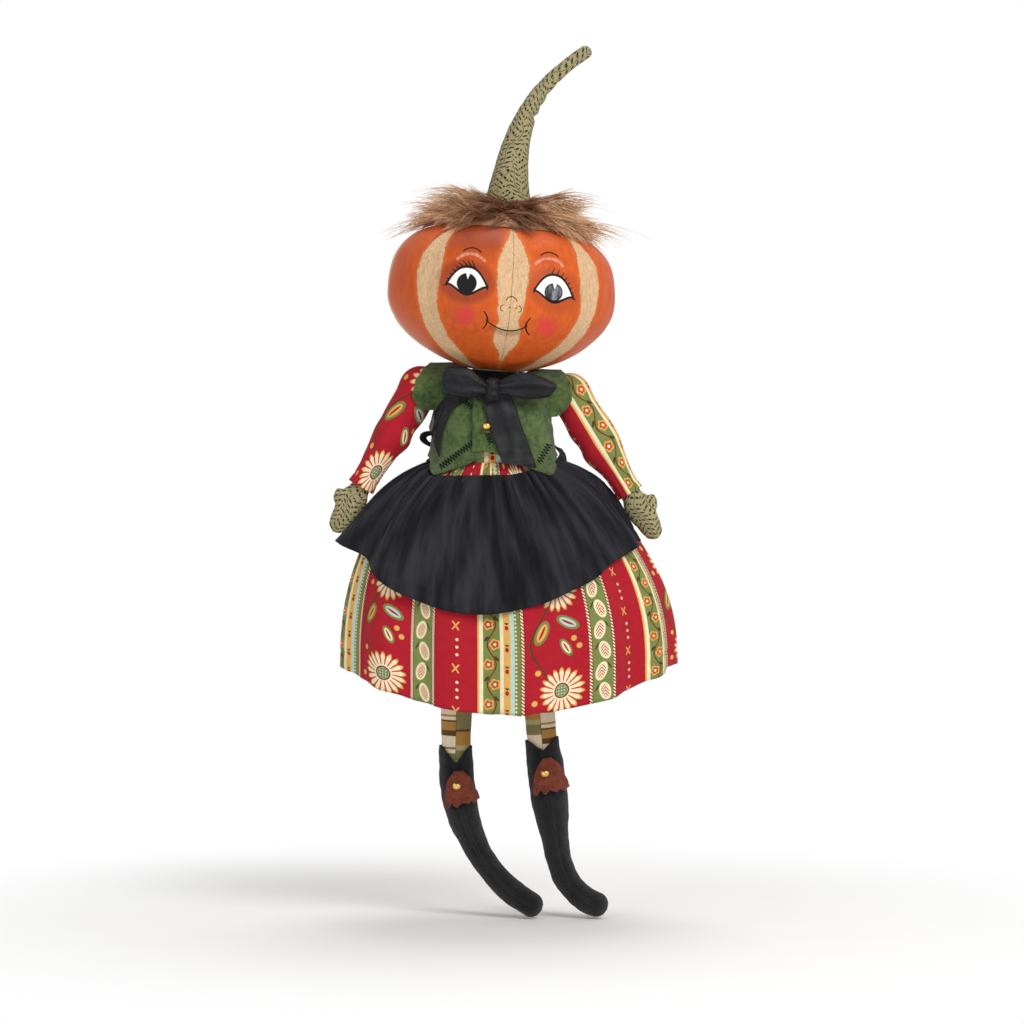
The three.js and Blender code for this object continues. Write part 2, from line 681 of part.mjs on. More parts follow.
function frontPanel(arm) {
  const COLUMNS = 10;
  const ROWS = 9;
  const surface = (u, v) => {
    const across = vestSection(BUTTON_HEIGHT).halfDepth;
    const opening = (VEST_OPENING - arm.side * CLEARANCE) / across;
    const start = arm.side * -opening;
    const top = vestTop;
    const hemAt = (turn) => {
      const toPoint = smoothstep(turn, 0, degToRad(48));
      const toSide = smoothstep(turn, degToRad(56), degToRad(88));
      return lerp(lerp(VEST_CENTRE_HEM, VEST_POINT_HEM, toPoint), VEST_SIDE_HEM, toSide);
    };
    const side = Math.PI / 2 - 0.015;
    const low = lerp(start, side, u);
    const z = lerp(hemAt(Math.max(low, 0)), top, v);
    const turn = lerp(start, Math.min(armholeTurn(z), side), u);
    return vestPoint(FRONT + arm.side * turn, z);
  };
  const felt = solid(sheet(surface, COLUMNS, ROWS, VEST_THICKNESS));
  const panel = felt.subtract(skirtBlock(overApronKeep)).subtract(bodyBlock()).add(cap(arm, -1));
  return piece(`vest_front_${arm.name}`, geometryOf(panel), COLOURS.green, 1);
}

function backPanel() {
  const COLUMNS = 16;
  const ROWS = 6;
  const surface = (u, v) => {
    const z = lerp(VEST_BACK_HEM, vestTop, v);
    const turn = lerp(-1, 1, u) * Math.min(armholeTurn(z), Math.PI / 2 - 0.015);
    return vestPoint(-FRONT - turn, z);
  };
  const panel = solid(sheet(surface, COLUMNS, ROWS, VEST_THICKNESS)).subtract(bodyBlock());
  const capped = panel.add(cap(LEFT_ARM, 1)).add(cap(RIGHT_ARM, 1));
  return piece("vest_back", geometryOf(capped), COLOURS.green, 1);
}

// How far forward the outside of the vest lies at a point of the front view.
function vestFront(x, z) {
  const { halfWidth, halfDepth } = vestSection(z);
  const share = Math.min(Math.abs(x) / (halfWidth + VEST_THICKNESS / 2), 0.98);
  const bulge = (1 - share ** SECTION_POWER) ** (1 / SECTION_POWER);
  return -(halfDepth + VEST_THICKNESS / 2) * bulge;
}

function button() {
  const radius = BUTTON_DIAMETER / 2;
  const bead = new THREE.SphereGeometry(radius, 10, 7);
  const mesh = piece("vest_button", geometryOf(solid(bead)), COLOURS.gold, 0.25, 1);
  const y = vestFront(-VEST_OPENING, BUTTON_HEIGHT) - CLEARANCE - radius;
  mesh.position.set(-VEST_OPENING + BUTTON_DIAMETER * 0.3, y, BUTTON_HEIGHT);
  return mesh;
}

// Ribbon: a loop is a flat ring with the ribbon's width, bent round in plan
function ribbonLoop(length, depth, width, thickness) {
  const outline = new THREE.Shape().absellipse(length / 2, 0, length / 2, depth / 2, 0, 2 * Math.PI);
  const eye = new THREE.Path();
  eye.absellipse(length / 2, 0, length / 2 - thickness, depth / 2 - thickness, 0, 2 * Math.PI);
  outline.holes.push(eye);
  const made = new THREE.ExtrudeGeometry(outline, { depth: width, bevelEnabled: false, curveSegments: 9 });
  return geometryOf(solid(made.translate(0, 0, -width / 2)));
}

// Half of a bow: a loop that starts beside the knot and points at a given rise.
function bowLoop(name, side, rise, knot, loop) {
  const shape = ribbonLoop(loop.length, loop.depth, loop.width, RIBBON_THICKNESS);
  const mesh = piece(name, shape, loop.colour, 0.6);
  const direction = side > 0 ? -degToRad(rise) : Math.PI + degToRad(rise);
  mesh.rotation.y = direction;
  const start = KNOT_WIDTH / 2 + CLEARANCE;
  const step = new THREE.Vector3(start, 0, 0).applyAxisAngle(new THREE.Vector3(0, 1, 0), direction);
  mesh.position.copy(knot).add(step);
  return mesh;
}

function bowKnot(name, centre, depth, height, colour) {
  const ball = new THREE.SphereGeometry(0.5, 12, 8).scale(KNOT_WIDTH, depth, height);
  const mesh = piece(name, geometryOf(solid(ball)), colour, 0.6);
  mesh.position.copy(centre);
  return mesh;
}

const bowY = vestFront(0, BOW_HEIGHT - RIBBON_WIDTH * 0.6) - CLEARANCE * 2 - BOW_LOOP_DEPTH / 2;
const bowCentre = new THREE.Vector3(0, bowY, BOW_HEIGHT);

// A tail hangs from under the knot and falls against the front of the vest.
function bowTail({ name, side, reach, drop, width: endWidth }) {
  const ROWS = 9;
  const COLUMNS = 4;
  const STAND = 2.6;
  const top = BOW_HEIGHT - RIBBON_WIDTH * 0.4 - CLEARANCE;
  const surface = (u, v) => {
    const width = lerp(KNOT_WIDTH * 0.4, endWidth, smoothstep(v, 0.18, 0.6));
    const x = side * lerp(KNOT_WIDTH * 0.28, reach, v) + (u - 0.5) * width;
    const z = top - drop * v + (u - 0.5) * side * 5 * v;
    const lie = vestFront(x, z) - STAND - Math.sin(v * 6 + u * 3) ** 2 * v;
    return new THREE.Vector3(x, Math.min(lerp(bowY, lie, smoothstep(v, 0, 0.3)), lie), z);
  };
  const cloth = sheet(surface, COLUMNS, ROWS, RIBBON_THICKNESS);
  return piece(`bow_tail_${name}`, cloth, COLOURS.organza, 0.6);
}

// The ribbon goes once round the neck, under the head.
function neckRibbon() {
  const inside = neckRadius + CLEARANCE;
  const outside = inside + RIBBON_THICKNESS * 2;
  const lower = -headHalf - NECK_RISE + CLEARANCE + 1.6;
  const upper = lower + NECK_RISE - 1.2;
  const outline = [
    [inside, lower],
    [outside, lower],
    [outside, upper],
    [inside, upper],
    [inside, lower],
  ].map(([r, z]) => new THREE.Vector2(r, z));
  const ring = new THREE.LatheGeometry(outline, BODY_SIDES).rotateX(Math.PI / 2);
  return piece("neck_ribbon", geometryOf(solid(ring)), COLOURS.organza, 0.6);
}

// Apron tie: a bow in the small of the back, its left loop longer than the right
const tieLoop = { depth: TIE_LOOP_DEPTH, width: TIE_WIDTH, colour: COLOURS.black };
const tieHeight = bandFoot + BAND_HEIGHT / 2;
const vestBack = vestSection(VEST_BACK_HEM).halfDepth + VEST_THICKNESS / 2;
const tieY = vestBack + CLEARANCE * 2 + tieLoop.depth / 2;
const tieCentre = new THREE.Vector3(0, tieY, tieHeight);
const bandBack = trunkHalfDepth(tieHeight) + bandMiddle + BAND_THICKNESS / 2;
const tieKnotDepth = 2 * (tieY - bandBack - CLEARANCE);

function tieTail({ name, side, reach, drop }) {
  const ROWS = 8;
  const top = tieHeight - TIE_WIDTH * 0.4 - CLEARANCE;
  const surface = (u, v) => {
    const width = lerp(KNOT_WIDTH * 0.5, TIE_WIDTH, smoothstep(v, 0, 0.3));
    const x = side * lerp(KNOT_WIDTH * 0.3, reach, v) + (u - 0.5) * width;
    const z = top - drop * v;
    const { halfWidth, halfDepth, bell, centreX } = skirtSection(z);
    const share = Math.min(Math.abs(x - centreX) / halfWidth, 0.97);
    const bulge = (1 - share ** SECTION_POWER) ** (1 / SECTION_POWER);
    const stand = SKIRT_THICKNESS + CLEARANCE * 3 + FOLD_DEPTH * bell;
    const lie = (halfDepth + stand) * bulge + RIBBON_THICKNESS * 1.5;
    return new THREE.Vector3(x, Math.max(lerp(tieY, lie, smoothstep(v, 0, 0.25)), lie), z);
  };
  return piece(`tie_tail_${name}`, sheet(surface, 2, ROWS, RIBBON_THICKNESS), COLOURS.black);
}

// Leg: a striped limb down its own -Z, and a boot whose toe sweeps to the right
const hipRadius = (THIGH_WIDTH / 2) * 0.86;
const ankleRadius = ANKLE_WIDTH / 2;
const bootTop = LEG_LENGTH - LEG_IN_BOOT;
const legRadius = along([
  [-LEG_LENGTH, ankleRadius],
  [-bootTop, ankleRadius],
  [-LEG_LENGTH * 0.3, THIGH_WIDTH / 2],
  [0, hipRadius],
]);

function legRings(extra, heights) {
  return heights.map((z) => {
    const radius = legRadius(z) + extra;
    return Array.from({ length: LIMB_SIDES }, (_, i) => {
      const angle = (i / LIMB_SIDES) * 2 * Math.PI;
      return new THREE.Vector3(radius * Math.cos(angle), radius * Math.sin(angle), z);
    });
  });
}

function limbLeg(leg) {
  const ball = ballProfile(hipRadius).slice(1);
  const top = ball.map(([radius, z]) =>
    Array.from({ length: LIMB_SIDES }, (_, i) => {
      const angle = (i / LIMB_SIDES) * 2 * Math.PI;
      return new THREE.Vector3(radius * Math.cos(angle), radius * Math.sin(angle), z);
    }),
  );
  const heights = [0, 0.12, 0.3, 0.5, 0.66, 0.79, 0.9, 1].map((share) => -share * LEG_LENGTH);
  return piece(`${leg.name}_leg`, loft([...top, ...legRings(0, heights)]), COLOURS.stripes);
}

// The boot's centre line drops from its top and sweeps sideways, faster towards the toe.
function bootCentre(leg) {
  const SWEEP_POWER = 2.6;
  return (t) => new THREE.Vector3(leg.sweep * t ** SWEEP_POWER, 0, -bootTop - leg.drop * t);
}

const CALF_SWELL = 0.06; // share by which the boot swells in the middle
const TOE_TAPER_FROM = 0.55; // share of the boot's length at which it starts to taper

// The boot's width at a share of its length, as a share of its width at the top.
function bootShare(t) {
  const taper = smoothstep(t, TOE_TAPER_FROM, 1) * (1 - TOE_WIDTH / BOOT_WIDTH);
  return 1 + CALF_SWELL * Math.sin(t * Math.PI) - taper;
}
const bootHalfWidth = (t) => (BOOT_WIDTH / 2) * bootShare(t);
const bootHalfDepth = (t) => (BOOT_DEPTH / 2) * bootShare(t);

// A wedge that opens the front of the boot's top into a V.
function notchWedge() {
  const wedge = new THREE.Shape();
  wedge.moveTo(-NOTCH_WIDTH / 2, 1);
  wedge.lineTo(0, -NOTCH_DEPTH);
  wedge.lineTo(NOTCH_WIDTH / 2, 1);
  const made = new THREE.ExtrudeGeometry(wedge, { depth: BOOT_DEPTH, bevelEnabled: false });
  return made.rotateX(Math.PI / 2).translate(0, 0, -bootTop);
}

function boot(leg) {
  const STATIONS = [0, 0.1, 0.22, 0.34, 0.46, 0.58, 0.69, 0.79, 0.88, 0.95, 1];
  const rings = pathRings(bootCentre(leg), bootHalfWidth, bootHalfDepth, STATIONS, LIMB_SIDES + 4);
  const outside = solid(loft([...rings, ...dome(rings)]));
  const socket = loft(legRings(CLEARANCE, [-bootTop + 2, -LEG_LENGTH - CLEARANCE]));
  const shape = outside.subtract(solid(socket)).subtract(solid(notchWedge()));
  return piece(`${leg.name}_boot`, geometryOf(shape), COLOURS.black, 1);
}

// A point on the boot, by its share of the centre line and its angle from the middle of the front.
function bootPoint(leg, t, turn, offset) {
  const centre = bootCentre(leg);
  const ahead = centre(t + 0.002).sub(centre(Math.max(t - 0.002, 0))).normalize();
  const across = new THREE.Vector3(-ahead.z, 0, ahead.x);
  return centre(t)
    .addScaledVector(across, (bootHalfWidth(t) + offset) * Math.sin(turn))
    .add(new THREE.Vector3(0, -(bootHalfDepth(t) + offset) * Math.cos(turn), 0));
}

function flap(leg) {
  const HALF_WRAP = degToRad(56);
  const TEETH = 4;
  const TOOTH = 2.4;
  const offset = CLEARANCE * 1.6 + FLAP_THICKNESS / 2;
  const surface = (u, v) => {
    const turn = lerp(-1, 1, u) * HALF_WRAP * lerp(0.5, 1, Math.sqrt(v));
    const ragged = TOOTH * Math.abs(Math.sin(u * TEETH * Math.PI)) * v;
    const drop = leg.flapDrop + v * (FLAP_LENGTH - TOOTH) + ragged;
    return bootPoint(leg, drop / leg.drop, turn, offset);
  };
  return piece(`${leg.name}_boot_flap`, sheet(surface, TEETH * 2, 4, FLAP_THICKNESS), COLOURS.brown, 1);
}

function bootBead(leg) {
  const radius = BEAD_DIAMETER / 2;
  const t = (leg.flapDrop + FLAP_LENGTH * 0.42) / leg.drop;
  const bead = new THREE.SphereGeometry(radius, 10, 7);
  const mesh = piece(`${leg.name}_boot_bead`, geometryOf(solid(bead)), COLOURS.gold, 0.25, 1);
  mesh.position.copy(bootPoint(leg, t, 0, CLEARANCE * 2.6 + FLAP_THICKNESS + radius));
  return mesh;
}

function legGroup(leg) {
  const group = new THREE.Group();
  group.position.set(leg.hip, 0, HIP_RISE - CLEARANCE - hipRadius);
  group.rotation.y = degToRad(-leg.lean);
  group.add(limbLeg(leg), boot(leg), flap(leg), bootBead(leg));
  return group;
}

// The whole doll
const doll = new THREE.Group();
doll.add(trunk(), bodice());

const headGroup = new THREE.Group();
headGroup.position.copy(headCentre);
headGroup.rotation.y = headTilt;
headGroup.add(head(), hair(), stem(), neck(), neckRibbon());
doll.add(headGroup);

doll.add(armGroup(LEFT_ARM), armGroup(RIGHT_ARM));
doll.add(skirtPanel("skirt_front", Math.PI), skirtPanel("skirt_back", 0), apron(), waistband());
doll.add(frontPanel(LEFT_ARM), frontPanel(RIGHT_ARM), backPanel(), button());

const neckLoop = { length: BOW_LOOP_LENGTH, depth: BOW_LOOP_DEPTH, width: RIBBON_WIDTH };
const knotHeight = 0.8; // of a knot, as a share of its ribbon's width
doll.add(bowKnot("bow_knot", bowCentre, BOW_LOOP_DEPTH, RIBBON_WIDTH * knotHeight, COLOURS.organza));
for (const half of [BOW_LEFT, BOW_RIGHT]) {
  const loop = { ...neckLoop, colour: COLOURS.organza };
  doll.add(bowLoop(`bow_loop_${half.name}`, half.side, half.rise, bowCentre, loop), bowTail(half));
}

doll.add(bowKnot("tie_knot", tieCentre, tieKnotDepth, TIE_WIDTH * knotHeight, COLOURS.black));
for (const half of [TIE_LEFT, TIE_RIGHT]) {
  const loop = { ...tieLoop, length: TIE_LOOP_LENGTH * half.share };
  doll.add(bowLoop(`tie_loop_${half.name}`, half.side, half.rise, tieCentre, loop), tieTail(half));
}

doll.add(legGroup(LEFT_LEG), legGroup(RIGHT_LEG));

export default doll;
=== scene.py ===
"""A stuffed cloth doll with a pumpkin head, in metres. +Z is up, and the doll faces -Y.

Shapes are worked out in millimetres. Left and right are as seen from the front, so left is -X.
"""

import json
import random
from math import acos, atan2, cos, exp, pi, radians, sin, sqrt

import bmesh
import bpy
from mathutils import Matrix, Vector, noise
from mathutils.bvhtree import BVHTree


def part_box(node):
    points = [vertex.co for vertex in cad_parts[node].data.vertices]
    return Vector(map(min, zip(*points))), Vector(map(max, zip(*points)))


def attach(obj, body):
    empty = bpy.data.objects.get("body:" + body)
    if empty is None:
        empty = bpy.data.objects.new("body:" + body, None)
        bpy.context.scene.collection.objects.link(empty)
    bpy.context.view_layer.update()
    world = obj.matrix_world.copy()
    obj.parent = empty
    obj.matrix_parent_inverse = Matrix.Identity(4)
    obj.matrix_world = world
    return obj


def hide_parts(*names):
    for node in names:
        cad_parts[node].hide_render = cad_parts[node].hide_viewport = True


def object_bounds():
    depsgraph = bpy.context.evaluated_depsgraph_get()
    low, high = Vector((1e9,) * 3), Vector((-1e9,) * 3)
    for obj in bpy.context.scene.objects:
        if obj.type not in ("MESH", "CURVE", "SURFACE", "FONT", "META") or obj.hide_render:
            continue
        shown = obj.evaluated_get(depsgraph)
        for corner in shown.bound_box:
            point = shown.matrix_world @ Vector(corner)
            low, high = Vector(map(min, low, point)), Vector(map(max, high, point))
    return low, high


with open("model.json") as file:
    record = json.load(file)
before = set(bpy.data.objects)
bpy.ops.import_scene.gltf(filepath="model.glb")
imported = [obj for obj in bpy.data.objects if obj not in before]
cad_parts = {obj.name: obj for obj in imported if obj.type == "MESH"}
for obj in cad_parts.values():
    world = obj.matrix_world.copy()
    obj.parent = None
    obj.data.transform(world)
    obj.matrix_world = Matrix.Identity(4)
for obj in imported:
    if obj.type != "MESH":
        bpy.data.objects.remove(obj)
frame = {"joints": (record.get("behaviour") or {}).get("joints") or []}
cad_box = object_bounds()
bpy.ops.object.select_all(action="DESELECT")

MM = 0.001
FRONT = -pi / 2
CLOTH_MAP = "cloth"
JOINTS = {joint["name"]: joint for joint in frame["joints"]}


def pivot(joint):
    """The point that a joint turns about, in millimetres."""
    return Vector(JOINTS[joint]["pos_m"]) / MM


def reach_of(node):
    """Lowest and highest corner of a solid, in millimetres."""
    low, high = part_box(node)
    return low / MM, high / MM


# Sizes of the body under the clothes, read from the solids
TRUNK_HIGH = reach_of("trunk")[1]
TRUNK_HEIGHT = TRUNK_HIGH.z
HIP_HALF = TRUNK_HIGH.x
WAIST_HALF = HIP_HALF * 30 / 35
CHEST_HALF = HIP_HALF * 31 / 35
COLLAR_HALF = HIP_HALF * 22 / 35
SEAT_HALF = HIP_HALF * 27 / 35
TRUNK_FLATNESS = TRUNK_HIGH.y / TRUNK_HIGH.x
WAIST_HEIGHT = reach_of("skirt_front")[1].z - 0.7
SADDLE_HALF = 11
HIP_RISE = 2.2

# Sizes of the head, in its own tilted frame
HEAD_CENTRE = pivot("head_turn")
HEAD_AXIS = Vector(JOINTS["head_turn"]["axis"])
HEAD_TILT = atan2(HEAD_AXIS.x, HEAD_AXIS.z)
HEAD_HALF_WIDTH = 66
HEAD_HALF_HEIGHT = 43
HEAD_FLATNESS = 122 / 132
CROWN_POWER = 2.9
CHIN_POWER = 1.85
CROWN_FLAT = HEAD_HALF_HEIGHT * 0.96
FACE_TURN = radians(5.6)
STRIPES = 8
NECK_RADIUS = 13

# Sizes of the stem and the fur
STEM_FOOT = CROWN_FLAT + 0.4
STEM_RISE = 103
STEM_LEAN = 38
STEM_BASE_RADIUS = 12.5
STEM_TIP_RADIUS = 3.75
STEM_HOOK = 3.6
FUR_REACH = 47

# Sizes of the arms
LEFT, RIGHT = -1, 1
SIDE_NAMES = {LEFT: "left", RIGHT: "right"}
SHOULDERS = {side: pivot(SIDE_NAMES[side] + "_arm_lift") for side in (LEFT, RIGHT)}
ARM_SPREADS = {LEFT: radians(31), RIGHT: radians(31.5)}
SLEEVE_FULLNESS = {LEFT: 10.25, RIGHT: 12}
SLEEVE_HEAD = 12
SLEEVE_LENGTH = 67
CUFF_RADIUS = 7
HAND_LENGTH = 31
HAND_HALF_WIDTH = 8.75
HAND_HALF_DEPTH = 6
THUMB_RADIUS = 3.25

# Sizes of the clothes
COTTON_THICKNESS = 0.9
FINE_THICKNESS = 0.8
BODICE_STAND = 1.0
SKIRT_STAND = 2.7
HEM_HALF_WIDTH = 95
HEM_SIDESTEP = 8.6
HEM_SIDE_DROP = 116
HEM_FRONT_DROP = 141.4
BELL_POWER = 2.4
BELL_FLATNESS = 0.6
FOLD_COUNT = 13
FOLD_DEPTH = 3.4
SECTION_POWER = 2.2
APRON_STAND = 2.3
APRON_SIDE_DROP = 45
APRON_FRONT_DROP = 84.5
APRON_WRAP = radians(84)
BAND_FOOT, BAND_TOP = (reach_of("apron_waistband")[end].z for end in (0, 1))
VEST_THICKNESS = 2
VEST_TOP = TRUNK_HEIGHT - 0.4
VEST_CENTRE_HEM = 80
VEST_POINT_HEM = 67
VEST_SIDE_HEM = 77
VEST_BACK_HEM = 86
CAP_RADIUS = SLEEVE_HEAD + 0.7 + VEST_THICKNESS / 2
CAP_DROP = 13
VEST_LAP = 8.5
RIBBON_WIDTH = 16.5
RIBBON_THICKNESS = 0.35
TIE_WIDTH = 12
BUTTON_HEIGHT = 95
UNDERARM = SHOULDERS[RIGHT].z - CAP_RADIUS * 1.1

# Sizes of the legs and boots
HIPS = {side: pivot(SIDE_NAMES[side] + "_leg_swing") for side in (LEFT, RIGHT)}
LEG_LEANS = {LEFT: radians(-1), RIGHT: radians(4.5)}
LEG_LENGTH = 106.2
BOOT_TOP = 83.2
HIP_RADIUS = 8.6
THIGH_RADIUS = 10
ANKLE_RADIUS = 8
BOOT_HALF_WIDTH = 10
BOOT_HALF_DEPTH = 9.5
TOE_SHARE = 14.5 / 20
BOOT_TOPS = {LEFT: BOOT_TOP, RIGHT: BOOT_TOP - 4}
BOOT_DROPS = {LEFT: 92, RIGHT: 99}
FLAP_DROPS = {LEFT: 14, RIGHT: 11}
FLAP_LENGTH = 20
NOTCH_HALF_WIDTH = 8.8
NOTCH_DEPTHS = {LEFT: 10, RIGHT: 6.5}


# Small sums
def mix(a, b, share):
    return a + (b - a) * share


def ease(value, low, high):
    """0 below low, 1 above high and a smooth step between."""
    share = min(max((value - low) / (high - low), 0), 1)
    return share * share * (3 - 2 * share)


def along(*stations):
    """A value eased through (place, value) stations that are listed upwards."""

    def value(place):
        for (a, start), (b, end) in zip(stations, stations[1:]):
            if place <= b:
                return mix(start, end, ease(place, a, b))
        return stations[-1][1]

    return value


def hump(value, at, width):
    """1 where value is at a place, and less the further it is, in the form of a bell."""
    return exp(-(((value - at) / width) ** 2))


def ripple(point, size, seed=0):
    """Smooth noise from -1 to 1 with features of about size millimetres."""
    return noise.noise(Vector(point) / size + Vector((seed, seed * 1.7, -seed)))


def lumpy(point, lumps):
    """The sum of several ripples, each given as its height, size and seed."""
    return sum(height * ripple(point, size, seed) for height, size, seed in lumps)


def section_point(angle, half_width, half_depth, z, centre_x=0):
    """A point of a level section that is a little squarer than an ellipse."""
    c, s = cos(angle), sin(angle)
    round_off = (abs(c) ** SECTION_POWER + abs(s) ** SECTION_POWER) ** (-1 / SECTION_POWER)
    return Vector((centre_x + half_width * c * round_off, half_depth * s * round_off, z))


# Ways to make a piece
def turned(angle, centre):
    """Takes a point of a limb's own frame, turned about Y by angle, to its place on the doll."""
    place = Matrix.Translation(centre) @ Matrix.Rotation(angle, 4, "Y")
    return lambda point: place @ point


to_head = turned(HEAD_TILT, HEAD_CENTRE)
to_arm = {side: turned(-side * ARM_SPREADS[side], SHOULDERS[side]) for side in (LEFT, RIGHT)}
to_leg = {side: turned(-LEG_LEANS[side], HIPS[side]) for side in (LEFT, RIGHT)}


def plain(u, v):
    """The cloth map of a piece whose finish has no print."""
    return (u, v)


def ribbon_map(width, length):
    """The cloth map of a straight strip, in millimetres."""
    return lambda u, v: (u * width, v * length)


def piece_from(name, points, faces, corners=None):
    """An object from points in millimetres, its faces and, corner by corner, its cloth map."""
    mesh = bpy.data.meshes.new(name)
    mesh.from_pydata([Vector(point) * MM for point in points], [], faces)
    if corners:
        layer = mesh.uv_layers.new(name=CLOTH_MAP)
        layer.data.foreach_set("uv", [number for corner in corners for number in corner])
    piece = bpy.data.objects.new(name, mesh)
    bpy.context.scene.collection.objects.link(piece)
    mesh.polygons.foreach_set("use_smooth", [True] * len(mesh.polygons))
    return piece


def grid(point, columns, rows, flat, closed=False):
    """Points, faces and cloth map of a sheet through point(u, v), with u and v from 0 to 1.

    flat(u, v) gives the place on the flat cloth in millimetres.
    """
    across = columns if closed else columns + 1
    points = [point(c / columns, r / rows) for r in range(rows + 1) for c in range(across)]
    faces = []
    corners = []
    for r in range(rows):
        for c in range(columns):
            cell = [(c, r), (c + 1, r), (c + 1, r + 1), (c, r + 1)]
            faces.append([j * across + i % across for i, j in cell])
            corners += [flat(i / columns, j / rows) for i, j in cell]
    return points, faces, corners


def joined(*parts):
    """Several lists of points, faces and cloth map as one."""
    points, faces, corners = [], [], []
    for more_points, more_faces, more_corners in parts:
        faces += [[index + len(points) for index in face] for face in more_faces]
        points += more_points
        corners += more_corners
    return points, faces, corners


def sew(piece, gap=0.02):
    """Merges points that meet, such as those of a pole, and turns the faces outwards."""
    work = bmesh.new()
    work.from_mesh(piece.data)
    bmesh.ops.remove_doubles(work, verts=work.verts, dist=gap * MM)
    bmesh.ops.recalc_face_normals(work, faces=work.faces)
    work.to_mesh(piece.data)
    work.free()
    return piece


def round_piece(name, point, columns, rows, flat=plain):
    """A sewn piece from a sheet that closes round on itself."""
    return sew(piece_from(name, *grid(point, columns, rows, flat, closed=True)))


def map_cloth(piece, flat):
    """Gives a piece a cloth map from the place, in millimetres, of each of its points."""
    mesh = piece.data
    layer = mesh.uv_layers.get(CLOTH_MAP) or mesh.uv_layers.new(name=CLOTH_MAP)
    places = [flat(vertex.co / MM) for vertex in mesh.vertices]
    corners = [number for loop in mesh.loops for number in places[loop.vertex_index]]
    layer.data.foreach_set("uv", corners)
    return piece


def modify(piece, kind, **settings):
    """Adds a modifier, sets it and applies it."""
    modifier = piece.modifiers.new(kind.lower(), kind)
    for name, value in settings.items():
        setattr(modifier, name, value)
    with bpy.context.temp_override(object=piece, active_object=piece, selected_objects=[piece]):
        bpy.ops.object.modifier_apply(modifier=modifier.name)
    return piece


def remade(piece):
    """Runs the shapes of a piece into one skin of small even faces, and smooths it."""
    VOXEL, FACTOR, PASSES = 0.75, 0.5, 5
    modify(piece, "REMESH", mode="VOXEL", voxel_size=VOXEL * MM, use_smooth_shade=True)
    return modify(piece, "SMOOTH", factor=FACTOR, iterations=PASSES)


def thicken(piece, thickness):
    """Gives a sheet its thickness, half to each side."""
    return modify(piece, "SOLIDIFY", thickness=thickness * MM, offset=0)


def round_off(piece, levels=1):
    return modify(piece, "SUBSURF", levels=levels, render_levels=levels)


def swell(piece, height):
    """Moves each point of a piece out along its normal by a height that depends on where it is."""
    mesh = piece.data
    places = [vertex.co.copy() for vertex in mesh.vertices]
    normals = [vertex.normal.copy() for vertex in mesh.vertices]
    moved = [place + normal * (height(place / MM) * MM) for place, normal in zip(places, normals)]
    mesh.vertices.foreach_set("co", [number for place in moved for number in place])
    mesh.update()
    return piece


def dress(piece, body, finish, slot, *nodes):
    """Gives a piece its finish, the body that it rides on and the solids that it stands for."""
    piece.data.materials.clear()
    piece.data.materials.append(finish)
    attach(piece, body)
    if nodes:
        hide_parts(*nodes)
    return piece


def tube(path, radius, sides=6, width=None):
    """Points, faces and cloth map of a closed tube of that radius along a path of points."""
    points, faces, corners = [], [], []
    count = len(path)
    frame_up = Vector((0.31, -0.83, 0.47)).normalized()
    for i, centre in enumerate(path):
        ahead = (path[min(i + 1, count - 1)] - path[max(i - 1, 0)]).normalized()
        side = ahead.cross(frame_up).normalized()
        up = ahead.cross(side)
        thick = radius(i / (count - 1)) if callable(radius) else radius
        for s in range(sides):
            turn = 2 * pi * s / sides
            points.append(centre + side * (thick * cos(turn)) + up * ((width or 1) * thick * sin(turn)))
    for i in range(count - 1):
        for s in range(sides):
            cell = [(s, i), (s + 1, i), (s + 1, i + 1), (s, i + 1)]
            faces.append([j * sides + k % sides for k, j in cell])
            corners += [(k / sides, j / count) for k, j in cell]
    for end in (0, count - 1):
        ring = [end * sides + s for s in range(sides)]
        faces.append(ring[::-1] if end == 0 else ring)
        corners += [(0, 0)] * sides
    return points, faces, corners


def spread(points, count):
    """That many points evenly along a line of points."""
    lengths = [0]
    for a, b in zip(points, points[1:]):
        lengths.append(lengths[-1] + (b - a).length)
    made = []
    leg = 0
    for i in range(count):
        want = lengths[-1] * i / (count - 1)
        while leg < len(points) - 2 and lengths[leg + 1] < want:
            leg += 1
        span = lengths[leg + 1] - lengths[leg]
        made.append(points[leg].lerp(points[leg + 1], (want - lengths[leg]) / span if span else 0))
    return made


# Finishes: a small language for shader maths
class Value:
    """A number that changes over a surface. Arithmetic on it adds Math nodes."""

    def __init__(self, finish, socket):
        self.finish = finish
        self.socket = socket


def arithmetic(operation, swapped=False):
    """A method that adds a Math node for an operation, with its two sides swapped if need be."""

    def method(self, *others):
        return self.finish.math(operation, *(others + (self,) if swapped else (self,) + others))

    return method


for sign, operation in (
    ("add", "ADD"), ("radd", "ADD"), ("sub", "SUBTRACT"), ("mul", "MULTIPLY"), ("rmul", "MULTIPLY"),
    ("truediv", "DIVIDE"), ("pow", "POWER"), ("mod", "FLOORED_MODULO"), ("abs", "ABSOLUTE"),
    ("gt", "GREATER_THAN"), ("lt", "LESS_THAN"),
):
    setattr(Value, "__%s__" % sign, arithmetic(operation))
Value.__rsub__ = arithmetic("SUBTRACT", swapped=True)
Value.__neg__ = lambda value: value * -1


def paint(red, green, blue):
    """A colour written as 0 to 255, as a shader takes it."""

    def linear(part):
        part /= 255
        return part / 12.92 if part <= 0.04045 else ((part + 0.055) / 1.055) ** 2.4

    return (linear(red), linear(green), linear(blue), 1)


